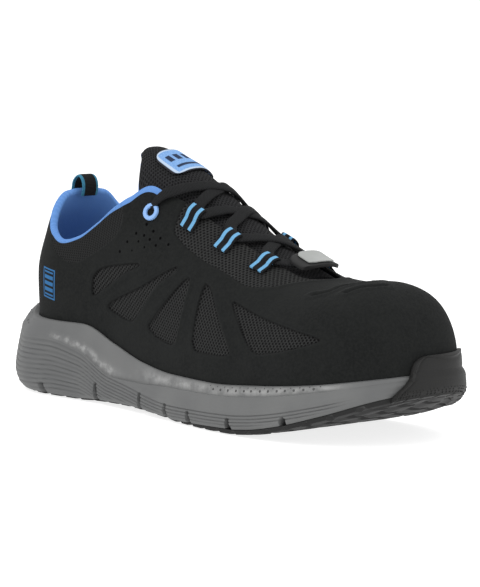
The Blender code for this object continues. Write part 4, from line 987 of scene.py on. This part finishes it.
# level, half turn, thickness
bumperTable = [
    (0.00, 27.0, 0.70), (0.06, 26.6, 0.80), (0.18, 25.6, 0.95), (0.50, 22.8, 1.00), (0.76, 21.2, 1.00),
    (0.85, 20.6, 1.00), (1.00, 20.0, 1.00), (1.30, 19.4, 1.00), (1.65, 18.2, 0.90), (1.90, 15.6, 0.65),
    (2.00, 13.0, 0.30),
]


# stations from one lug of the bumper to the next
lugPitch = 13


def makeBumper(settings):
    lowRows = 33
    levels = np.linspace(0.0, 1.0, lowRows + 1)[:-1]
    levels = np.concatenate([levels, np.linspace(1.0, 2.0, settings["rows"] - lowRows)])
    sweep = endsDenser(settings["stations"])
    seats = np.zeros((len(sweep), len(levels), 3))
    for j, level in enumerate(levels):
        turns = np.radians(settings["turn"] + sweep * curve(bumperTable, 1, level))
        reach, direction, start = toeReach(turns)
        if level <= 1.0:
            foot = start + reach[:, None] * direction
            ends = [start + toeReach(turns + d)[0][:, None] * toeReach(turns + d)[1] for d in (0.01, -0.01)]
            run = ends[0] - ends[1]
            normal = unit(np.stack([run[:, 1], -run[:, 0]], -1))
            spot = foot + normal * sideOffset(shareAt(foot[:, 0]), level)[:, None]
            seats[:, j, :2] = spot
            seats[:, j, 2] = soleHeight(shareAt(spot[:, 0]), level)
        else:
            columns = fanColumns(turns, np.linspace(0.0, 1.0, 80))
            for i, column in enumerate(columns):
                z = column[0, 2] + (settings["height"] * mm - column[0, 2]) * (level - 1.0)
                seats[i, j] = *(np.interp(z, column[:, 2], column[:, axis]) for axis in (0, 1)), z
    normals = gridNormals(seats, closed=False)
    thickness = curve(bumperTable, 2, levels) * settings["thickness"] * mm
    clear = 0.5 * mm + 0.4 * mm * (levels <= 1.0)
    inner = seats + normals * clear[None, :, None]
    length = np.cumsum(np.linalg.norm(np.diff(seats, axis=1, prepend=seats[:, :1]), axis=2), axis=1)
    fromTop = (length[:, -1:] - length) / mm
    width = np.cumsum(np.linalg.norm(np.diff(seats, axis=0, prepend=seats[:1]), axis=2), axis=0)
    fromSide = np.minimum(width, width[-1:] - width) / mm
    fromEdge = np.minimum(fromTop, fromSide)
    bead = settings["bead"] * mm * (hump(fromEdge, 1.3, 0.75) - 0.35 * hump(fromEdge, 3.1, 0.9))
    body = np.maximum(thickness[None] + bead, 0.3 * mm) * np.minimum(1.0, (fromSide / 0.8 + 0.15)) ** 0.5
    outer = inner + normals * body[..., None]
    inward = normals[:, :1] * [1.0, 1.0, 0.0]
    inward *= -settings["tuck"] * mm / np.linalg.norm(inward, axis=2)[..., None]
    grids = []
    for grid, share in ((outer, 0.85), (inner, 0.35)):
        low = np.concatenate([grid[:, :1] + inward, grid[:, :1] + 0.25 * inward, grid[:, :1]], axis=1)
        low[:, :, 2] = soleBase(sharesOf(low)) - share * last["outsole"]
        lug = ((np.arange(len(sweep)) % lugPitch) > 1)[:, None] * 1.0
        if share > 0.5:
            low[:, :, 2] += (1.0 - lug) * 1.4 * mm
        grids.append(np.concatenate([low, grid], axis=1))
    piece = slabPiece("toeBumper", grids[0], grids[1], bumperRubber, sharp=60)
    return piece, outer, normals


treadPiece = makeTread(treadSole)
bumperPiece, bumperFace, bumperNormals = makeBumper(toeBumper)
for piece in (treadPiece, bumperPiece):
    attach(piece, "root")
    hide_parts("outsole")
print("outsole ready")


# The tongue: a padded pad that stands up at its tip
tonguePad = {
    "halfWidth": 29.0, "thickness": 5.5, "rise": 7.0, "edge": 0.55, "rows": 130, "columns": 64,
    "tip": 0.288, "foot": 0.715, "lean": 3.5,
}
# at, half width, thickness, crown, drop of the tip
tongueTable = [
    (0.288, 0.66, 0.75, 0.26, 1.60), (0.296, 0.86, 1.10, 0.28, 1.18), (0.316, 0.96, 1.30, 0.30, 0.72),
    (0.345, 0.99, 1.25, 0.28, 0.38), (0.395, 0.99, 1.00, 0.27, 0.00), (0.440, 0.93, 0.85, 0.32, 0.00),
    (0.480, 0.86, 0.75, 0.32, 0.00), (0.600, 0.74, 0.60, 0.28, 0.00), (0.715, 0.68, 0.50, 0.00, 0.00),
]


def tongueHalf(at):
    return tonguePad["halfWidth"] * mm * curve(tongueTable, 1, at)


def tongueFace(at, across):
    padded = 1.0 - ease(last["cornerAt"] - 0.06, last["cornerAt"] + 0.05, at)
    crown = (1.0 - np.clip(np.abs(across) / tongueHalf(at), 0.0, 1.0) ** 2) ** 2
    raised = tonguePad["rise"] * mm * (curve(tongueTable, 3, at) * crown - curve(tongueTable, 4, at))
    return raised - last["wall"] - (last["collarPad"] - last["wall"]) * padded - 2.0 * last["gap"]


def makeTongue(settings):
    tip, foot = settings["tip"], settings["foot"]
    ats = tip + (foot - tip) * np.linspace(0.0, 1.0, settings["rows"]) ** 1.35
    shares = endsDenser(settings["columns"])
    at = np.repeat(ats[:, None], len(shares), axis=1)
    across = tongueHalf(at) * shares - settings["lean"] * mm * (1.0 - ease(0.36, 0.46, at))
    body = settings["thickness"] * mm * curve(tongueTable, 2, at)
    body = body * (1.0 - settings["edge"] * np.abs(shares) ** 3)
    face = tongueFace(at, across)
    roundTip = 0.42 * body * (np.abs(shares) ** 10 + (1.0 - ease(tip, tip + 0.009, at)))
    outer = lifted(at, across, face - roundTip)
    inner = lifted(at, across, face - body + roundTip)
    values = {
        "along": at * last["length"] / mm, "across": across / mm,
        "side": np.maximum(np.abs(shares)[None], 1.0 - 0.9 * ease(tip, tip + 0.0045, at)) * np.ones_like(at),
    }
    both = {key: np.concatenate([value, value]) for key, value in values.items()}
    return slabPiece("tonguePad", outer, inner, tongueCloth, both, 60)


tonguePiece = makeTongue(tonguePad)
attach(tonguePiece, "root")
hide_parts("tongue")
print("tongue ready")


# The lace: two flat runs from the top eyelets down through the loops to the bottom bar
laceRun = {"width": 6.8, "thickness": 1.9, "count": 260, "outAtLoops": 2.8, "medialDrop": 1.2}
eyeletRing = {
    "radius": 4.9, "hole": 2.5, "height": 1.3, "seat": 0.66, "at": 0.386, "level": 0.80, "turns": 56,
}
# at, distance from the middle, height over the skin
laceStops = [
    (0.386, -31.0, 0.6), (0.392, -29.3, 1.9), (0.404, -26.0, 2.7), (0.420, -21.5, 2.3),
    (0.437, -13.0, 1.5), (0.448, -4.0, 1.7), (0.457, 5.0, 1.4), (0.465, 13.0, 1.3), (0.472, 18.5, 1.6),
    (0.484, 19.6, 1.7), (0.496, 15.0, 1.6), (0.508, 8.0, 1.3), (0.519, 0.0, 1.7), (0.530, -8.0, 1.2),
    (0.543, -14.8, 1.3), (0.556, -17.2, 1.6), (0.568, -17.0, 1.7), (0.580, -13.5, 1.5),
    (0.592, -7.0, 1.3), (0.604, 0.0, 1.6), (0.616, 7.0, 1.1), (0.630, 12.6, 1.3), (0.645, 15.0, 1.6),
    (0.658, 14.8, 1.7), (0.672, 12.4, 1.4), (0.686, 9.0, 1.3), (0.695, 4.0, 1.3), (0.697, -1.0, 1.3),
]


def makeLace(name, side, settings):
    stops = np.array(laceStops)
    under = side > 0
    out = settings["outAtLoops"] * ease(9.0, 16.0, np.abs(stops[:, 1])) * (stops[:, 0] > 0.44)
    aside = stops[:, 1] + out * np.sign(stops[:, 1])
    across = aside * (-1.0 if under else 1.0)
    ringSpot = sideColumns(np.array([eyeletRing["at"]]), side, np.array([eyeletRing["level"]]))
    ringSide = abs(ringSpot.reshape(-1, 3)[0, 1] - float(centre(eyeletRing["at"]))) / mm
    nearRing = 1.0 - ease(0.392, 0.437, stops[:, 0])
    across = across * (1.0 + nearRing * (min(ringSide / abs(stops[0, 1]), 1.0) - 1.0))
    height = stops[:, 2] - (1.5 * hump(stops[:, 1], 0.0, 6.0) * (stops[:, 0] < 0.68) if under else 0.0)
    height = height - settings["medialDrop"] * ease(4.0, 13.0, across) * (stops[:, 0] > 0.40)
    chart = np.stack([stops[:, 0] * last["length"], across * mm, height * mm], -1)
    dense = smoothCourse(chart, settings["count"])
    at = dense[:, 0] / last["length"]
    course = lifted(at, dense[:, 1], dense[:, 2])
    normal = skinNormal(at, dense[:, 1])
    tangent = unit(np.gradient(course, axis=0))
    beside = unit(np.cross(normal, tangent))
    step = np.linspace(0.0, 1.0, len(at))
    waist = 0.62 + 0.38 * ease(0.0, 0.06, step)
    normal = unit(np.cross(tangent, beside))
    return bandPiece(name, course, beside, normal, settings, laceCloth, 18, 0.5, waist)


for name, side in (("laceOver", -1.0), ("laceUnder", 1.0)):
    lacePiece = makeLace(name, side, laceRun)
    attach(lacePiece, "root")
    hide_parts("lace_cross_1", "lace_cross_2", "lace_cross_3", "lace_bar")
print("lace ready")


# The webbing loops, with two blue stripes each
laceLoop = {"width": 10.5, "length": 11.5, "lower": 0.30, "rise": 2.6, "thickness": 1.1, "seat": 0.5,
            "places": (0.474, 0.560, 0.650)}
loopCourse = [
    (-0.80, 0.04), (-0.66, 0.04), (-0.52, 0.04), (-0.38, 0.08), (-0.14, 0.60), (0.10, 1.00),
    (0.30, 0.92), (0.38, 0.52), (0.28, 0.14), (0.02, 0.08),
]


def pastEdge(at, side, distance):
    reach = np.linspace(0.0, 1.0, 400) ** 0.8 * (halfWidth(at, side) - last["gap"])
    points = atWidth(at, side * reach)
    run = lengthsOf(points)
    return np.interp(np.interp(throatEdge(at), reach, run) + distance, run, reach)


def makeLoop(name, at, side, settings):
    table = smoothCourse([(past, rise, 0.0) for past, rise in loopCourse], 60)
    past = (table[:, 0] - settings["lower"]) * settings["length"] * mm
    rise = (table[:, 1] * settings["rise"] + 0.5 * settings["thickness"] + settings["seat"]) * mm
    place = side * pastEdge(at, side, -past)
    course = lifted(np.full(len(past), at), place, rise)
    fore = lifted(np.full(len(past), at + 0.01), side * pastEdge(at + 0.01, side, -past), rise)
    beside = unit(fore - course)
    tangent = unit(np.gradient(course, axis=0))
    normal = unit(np.cross(tangent, beside))
    return bandPiece(name, course, beside, normal, settings, loopWebbing, 20, 0.3)


for side, sideName in ((-1.0, "lateral"), (1.0, "medial")):
    for k, at in enumerate(laceLoop["places"]):
        loopPiece = makeLoop("laceLoop%s%d" % (sideName.title(), k + 1), at, side, laceLoop)
        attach(loopPiece, "root")
        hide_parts("lace_loop_%s_%d" % (sideName, k + 1))
print("loops ready")


# The top eyelets
def makeEyelet(name, side, settings):
    levels = settings["level"] + np.array([-0.02, 0.02])
    box = sideColumns(settings["at"] + np.array([-0.01, 0.01]), side, levels)
    normal = np.cross(box[1].mean(0) - box[0].mean(0), box[:, 1].mean(0) - box[:, 0].mean(0))
    normal = unit(normal if normal[1] * side > 0 else -normal)
    middle = box.reshape(-1, 3).mean(0) + normal * settings["seat"] * mm
    first = unit(np.cross(normal, [0.0, 0.0, 1.0]))
    second = np.cross(normal, first)
    hole, tall = settings["hole"], settings["height"]
    wide, bends = 0.5 * (settings["radius"] - hole), np.linspace(0.02, pi - 0.02, 12)
    profile = [(hole + wide * (1 - cos(bend)), tall * sin(bend) ** 0.7) for bend in bends]
    profile += [(settings["radius"], -0.3), (hole, -0.3)]
    turn = np.linspace(0.0, 2 * pi, settings["turns"], endpoint=False)
    flat = np.cos(turn)[:, None] * first + np.sin(turn)[:, None] * second
    rings = [middle + flat * r * mm + normal * z * mm for r, z in profile]
    faces = gridFaces(len(rings), len(turn), closeRows=True, closeColumns=True)
    return outward(newPiece(name, np.array(rings).reshape(-1, 3), faces, ringPlastic, None, 60))


for side, sideName in ((-1.0, "lateral"), (1.0, "medial")):
    ringPiece = makeEyelet("eyelet" + sideName.title(), side, eyeletRing)
    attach(ringPiece, "root")
    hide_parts("eyelet_" + sideName)
print("eyelets ready")


# The keeper on the bottom bar with its bare plate, and the plain tongue patch
keeper = {"at": 0.698, "span": 26.0, "length": 14.5, "thickness": 2.4, "arch": 1.0, "bar": 2.4}
patch = {"at": 0.362, "length": 20.0, "width": 32.0, "thickness": 0.9}


def makePlate(name, at, length, width, thickness, base, material, roundness):
    u = endsDenser(34)[:, None] * np.ones((1, 50))
    v = endsDenser(50)[None] * np.ones((34, 1))
    shrinkU = (1.0 - 0.5 * np.abs(v) ** roundness * np.abs(u)) ** 0.30
    shrinkV = (1.0 - 0.5 * np.abs(u) ** roundness * np.abs(v)) ** 0.30
    placeAt = at + 0.5 * u * shrinkU * length * mm / last["length"]
    across = 0.5 * v * shrinkV * width * mm
    bottom = base(placeAt, across)
    edge = np.maximum(np.abs(u), np.abs(v))
    crown = np.clip(1.0 - edge**14, 0.0, 1.0) ** 0.4
    top = bottom + thickness * mm * (0.35 + 0.65 * crown)
    outer = lifted(placeAt, across, top)
    inner = lifted(placeAt, across, bottom)
    values = {"u": np.concatenate([v, v]), "v": np.concatenate([u, u])}
    return slabPiece(name, outer, inner, material, values, 50)


def keeperBase(at, across):
    u = (at - keeper["at"]) * last["length"] / (0.5 * keeper["length"] * mm)
    arch = keeper["arch"] * (1.0 - (2.0 * across / (keeper["span"] * mm)) ** 2)
    return (keeper["bar"] + arch + 0.5 * np.abs(u) ** 3) * mm


def plateBase(at, across):
    return keeperBase(at, across) + (keeper["thickness"] + 0.5) * mm


def patchBase(at, across):
    return tongueFace(at, across) + 0.9 * mm


keeperPiece = makePlate("keeperBridge", keeper["at"], keeper["length"], keeper["span"], keeper["thickness"],
                        keeperBase, keeperPlastic, 5.0)
platePiece = makePlate("keeperPlate", keeper["at"], keeper["length"] - 2.2, keeper["span"] - 8.8, 0.8,
                       plateBase, platePlastic, 9.0)
patchPiece = makePlate("tonguePatch", patch["at"], patch["length"], patch["width"], patch["thickness"],
                       patchBase, patchCloth, 7.0)
flatPieces = [
    (keeperPiece, "lace_keeper", "black_plastic"), (platePiece, "keeper_plate", "white_plastic"),
    (patchPiece, "tongue_badge", "blue_badge"),
]
for piece, node, slot in flatPieces:
    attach(piece, "root")
    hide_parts(node)
print("keeper and patch ready")


# The heel's pull loop
pullLoop = {"width": 11.5, "thickness": 1.5, "rise": 6.2, "tail": 16.0, "inside": 3.0}


def makePull(settings):
    top = last["collarHeight"] * collarTable[0][1]
    crown = top + 0.42 * last["collarPad"]
    outside = last["heelX"] + lean(0.0, top)
    pad, gap = last["collarPad"], last["gap"]
    half, inside = 0.5 * settings["thickness"] * mm, settings["inside"] * mm
    tail, rise = settings["tail"] * mm, settings["rise"] * mm
    stops = [
        (lean(0.0, top - tail) + last["heelX"] - half - 3.0 * gap, top - tail),
        (lean(0.0, top - 0.5 * tail) + last["heelX"] - half - 3.0 * gap, top - 0.5 * tail),
        (outside - half - 4.0 * gap, top), (outside - half - gap, crown + 0.4 * rise),
        (outside + 0.25 * pad, crown + 0.85 * rise), (outside + 0.7 * pad, crown + rise),
        (outside + 1.25 * pad, crown + 0.8 * rise), (outside + 1.6 * pad, crown + 0.3 * rise),
        (outside + 1.55 * pad, top - 0.4 * inside), (outside + 1.42 * pad, top - inside),
    ]
    line = smoothCourse([(x, 0.0, z) for x, z in stops], 80)
    ys = np.linspace(-0.5, 0.5, 15) * settings["width"] * mm
    depth = last["heelCap"] * last["length"] * (1.0 - np.sqrt(1.0 - (2.0 * ys / last["heelWidth"]) ** 2))
    run = np.gradient(line, axis=0)
    side = unit(np.stack([-run[:, 2], np.zeros(len(run)), run[:, 0]], -1))
    length = lengthsOf(line) / mm
    grids = []
    thick = half * (1.0 - 0.6 * np.abs(2 * ys / (settings["width"] * mm)) ** 8)
    for sign in (1.0, -1.0):
        grid = []
        for y, back, body in zip(ys, depth, thick):
            grid.append(line + sign * body * side + [back, last["sideShift"] + y, 0.0])
        grids.append(np.array(grid))
    across = np.repeat(np.tile(ys / mm, 2)[:, None], len(line), 1)
    values = {"run": np.tile(length, (2 * len(ys), 1)), "across": across}
    return slabPiece("heelPull", grids[0], grids[1], pullWebbing, values, 60)


pullPiece = makePull(pullLoop)
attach(pullPiece, "root")
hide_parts("heel_pull_loop")
print("pull loop ready")


# Small repeated marks: punched holes and dimples as dark disks of painted shade, and grip nubs, set on points
# by one tree
def makeScatterTree(name, material):
    tree = bpy.data.node_groups.new(name, "GeometryNodeTree")
    sockets = {
        "Geometry": "NodeSocketGeometry", "Radius": "NodeSocketFloat", "Flatness": "NodeSocketFloat",
    }
    for label, kind in sockets.items():
        tree.interface.new_socket(label, in_out="INPUT", socket_type=kind)
    tree.interface.new_socket("Geometry", in_out="OUTPUT", socket_type="NodeSocketGeometry")
    kinds = {
        "start": "NodeGroupInput", "end": "NodeGroupOutput", "points": "GeometryNodeMeshToPoints",
        "dot": "GeometryNodeMeshUVSphere", "place": "GeometryNodeInstanceOnPoints",
        "facing": "GeometryNodeInputNamedAttribute", "turn": "FunctionNodeAlignRotationToVector",
        "stretch": "ShaderNodeCombineXYZ", "size": "GeometryNodeInputNamedAttribute",
        "realize": "GeometryNodeRealizeInstances", "paint": "GeometryNodeSetMaterial",
        "shrink": "ShaderNodeVectorMath",
    }
    nodes = {key: tree.nodes.new(kind) for key, kind in kinds.items()}
    nodes["shrink"].operation = "SCALE"
    nodes["turn"].axis = "Z"
    nodes["facing"].data_type = "FLOAT_VECTOR"
    nodes["size"].data_type = "FLOAT"
    values = [
        ("dot", "Segments", 10), ("dot", "Rings", 6), ("facing", "Name", "facing"), ("size", "Name", "size"),
        ("stretch", 0, 1.0), ("stretch", 1, 1.0), ("paint", "Material", material),
    ]
    for key, socket, value in values:
        nodes[key].inputs[socket].default_value = value
    links = [
        ("start", "Geometry", "points", "Mesh"), ("start", "Radius", "dot", "Radius"),
        ("start", "Flatness", "stretch", 2), ("stretch", 0, "shrink", 0),
        ("size", "Attribute", "shrink", "Scale"),
        ("facing", "Attribute", "turn", "Vector"), ("points", "Points", "place", "Points"),
        ("dot", "Mesh", "place", "Instance"), ("turn", "Rotation", "place", "Rotation"),
        ("shrink", 0, "place", "Scale"), ("place", "Instances", "realize", "Geometry"),
        ("realize", "Geometry", "paint", "Geometry"), ("paint", "Geometry", "end", "Geometry"),
    ]
    for source, output, target, socket in links:
        tree.links.new(nodes[source].outputs[output], nodes[target].inputs[socket])
    return tree


def scatter(name, points, facings, sizes, radius, flatness, material):
    base = bpy.data.meshes.new(name + "Points")
    base.from_pydata(np.asarray(points).tolist(), [], [])
    layers = [("facing", "FLOAT_VECTOR", "vector", facings), ("size", "FLOAT", "value", sizes)]
    for key, kind, entry, values in layers:
        layer = base.attributes.new(key, kind, "POINT")
        layer.data.foreach_set(entry, np.asarray(values, np.float32).ravel())
    holder = addObject(name + "Points", base)
    change = holder.modifiers.new("scatter", "NODES")
    change.node_group = makeScatterTree(name + "Tree", material)
    for item in change.node_group.interface.items_tree:
        if item.in_out == "INPUT" and item.name in ("Radius", "Flatness"):
            change[item.identifier] = {"Radius": radius * mm, "Flatness": flatness}[item.name]
    ready = holder.evaluated_get(bpy.context.evaluated_depsgraph_get())
    mesh = bpy.data.meshes.new_from_object(ready)
    holder.modifiers.remove(change)
    bpy.data.objects.remove(holder, do_unlink=True)
    mesh.shade_smooth()
    piece = addObject(name, mesh)
    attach(piece, "root")
    return piece


punchedHoles = [
    (0.382, 0.688), (0.360, 0.606), (0.382, 0.631), (0.403, 0.688), (0.339, 0.531), (0.370, 0.581),
    (0.399, 0.638), (0.425, 0.688), (0.320, 0.456), (0.356, 0.513), (0.389, 0.581), (0.418, 0.638),
    (0.449, 0.694),
]


def makePunched():
    points, facings = [], []
    for side in (-1.0, 1.0):
        for x, share in punchedHoles:
            at = np.array([x, x + 0.003, x])
            level = np.array([share, share, share + 0.006])
            a, b, c = atHeight(at, level, side)
            normal = unit(np.cross(b - a, c - a))
            points.append(a + normal * side * np.sign(normal[1]) * 0.02 * mm)
            facings.append(normal * side * np.sign(normal[1]))
    # the punched holes are dark disks of painted shade
    piece = scatter("punchedHoles", points, facings, np.ones(len(points)), 0.85, 0.16, paintedHoleShade)


def makeDimples():
    ring = skinColumns(np.array([0.0]), 26, 240, 216)[:, 0]
    plan, ats = planNormals(ring), sharesOf(ring)
    run = lengthsOf(ring) / mm
    points, facings, sizes = [], [], []
    pitch = 5.6
    for start, level, size in ((0.0, 0.52, 0.95), (0.5 * pitch, 0.80, 0.50)):
        for place in np.arange(start, run[-1], pitch):
            i = int(np.searchsorted(run, place))
            at = ats[min(i, len(ats) - 1)]
            if i >= len(ring) or at > 0.90 or 0.08 < at < 0.64:
                continue
            share = swoop(at) + (1.0 - swoop(at)) * level
            spot = np.array([ring[i, 0], ring[i, 1], 0.0])
            sunk = midsoleFoam["stepDepth"] * (1.0 - level) * mm
            spot[:2] += plan[i] * (sideOffset(at, share) - sunk + 0.03 * mm)
            spot[2] = soleHeight(shareAt(spot[0]), share)
            points.append(spot)
            facings.append([plan[i, 0], plan[i, 1], 0.35])
            sizes.append(size)
    piece = scatter("soleDimples", points, facings, sizes, 0.75, 0.20, foamShadow)


def makeGrip():
    points, facings, sizes = [], [], []
    for row, level in enumerate((1, 4, 7)):
        for i in range(4 + row % 2 * 2, len(bumperFace) - 4, 3):
            if i % lugPitch > 1:
                points.append(bumperFace[i, level])
                facings.append(bumperNormals[i, level])
                sizes.append(1.0 - 0.2 * row)
    piece = scatter("gripNubs", points, facings, sizes, 0.62, 0.75, bumperRubber)


foamShadow = makePlain("foamShadow", (0.070, 0.070, 0.070), 0.8)
makePunched()
makeDimples()
makeGrip()
print("small marks ready")

# The solid that stays in view
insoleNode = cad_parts["insole"]
for slotPlace in insoleNode.material_slots:
    slotPlace.material = insoleCloth


# Floor, light and camera
def makeStage():
    mesh = bpy.data.meshes.new("floor")
    corners = [(-14.0, -14.0, 0.0), (14.0, -14.0, 0.0), (14.0, 14.0, 0.0), (-14.0, 14.0, 0.0)]
    mesh.from_pydata(corners, [], [(0, 1, 2, 3)])
    floor = addObject("floor", mesh)
    shade = Shade("paleFloor", 0.95, 0.0)
    shade.put("Base Color", shade.mix(shade.noise(6.0), (0.44, 0.44, 0.44), (0.46, 0.46, 0.46)))
    shade.put("Emission Color", (1.0, 1.0, 1.0, 1.0))
    shade.put("Emission Strength", 0.80)
    mesh.materials.append(shade.material)
    world = bpy.data.worlds.new("studio")
    world.use_nodes = True
    world.node_tree.nodes["Background"].inputs["Color"].default_value = (1.0, 1.0, 1.0, 1.0)
    world.node_tree.nodes["Background"].inputs["Strength"].default_value = 1.0
    bpy.context.scene.world = world
    bpy.context.scene.view_settings.view_transform = "Standard"
    lights = [("keyLight", (0.2, -1.1, 1.5), 1.2, 9.0), ("topLight", (0.5, 0.5, 1.9), 1.4, 8.0)]
    for name, place, size, energy in lights:
        lamp = bpy.data.lights.new(name, "AREA")
        lamp.energy, lamp.size = energy, size
        holder = addObject(name, lamp)
        holder.location = place
        holder.rotation_euler = (Vector((0.0, 0.0, 0.05)) - Vector(place)).to_track_quat("-Z", "Y").to_euler()


view = {
    "azimuth": 46.27, "elevation": 7.09, "roll": 1.27, "distance": 1.9401, "lens": 219.35,
    "target": (0.00265, -0.00110, 0.060), "shift": (0.0189, 0.0160),
}


def makeCamera(settings):
    az, el, roll = radians(settings["azimuth"]), radians(settings["elevation"]), radians(settings["roll"])
    back = Vector((sin(az) * cos(el), -cos(az) * cos(el), sin(el)))
    right = Vector((cos(az), sin(az), 0.0))
    up = back.cross(right)
    turnedRight = right * cos(roll) + up * sin(roll)
    turnedUp = up * cos(roll) - right * sin(roll)
    lensData = bpy.data.cameras.new("camera")
    lensData.sensor_fit, lensData.sensor_height, lensData.lens = "VERTICAL", 36.0, settings["lens"]
    lensData.shift_x, lensData.shift_y = settings["shift"]
    camera = addObject("camera", lensData)
    turn = Matrix((turnedRight, turnedUp, back)).transposed().to_4x4()
    camera.matrix_world = Matrix.Translation(Vector(settings["target"]) + back * settings["distance"]) @ turn
    bpy.context.scene.camera = camera


makeStage()
makeCamera(view)
print("stage ready")
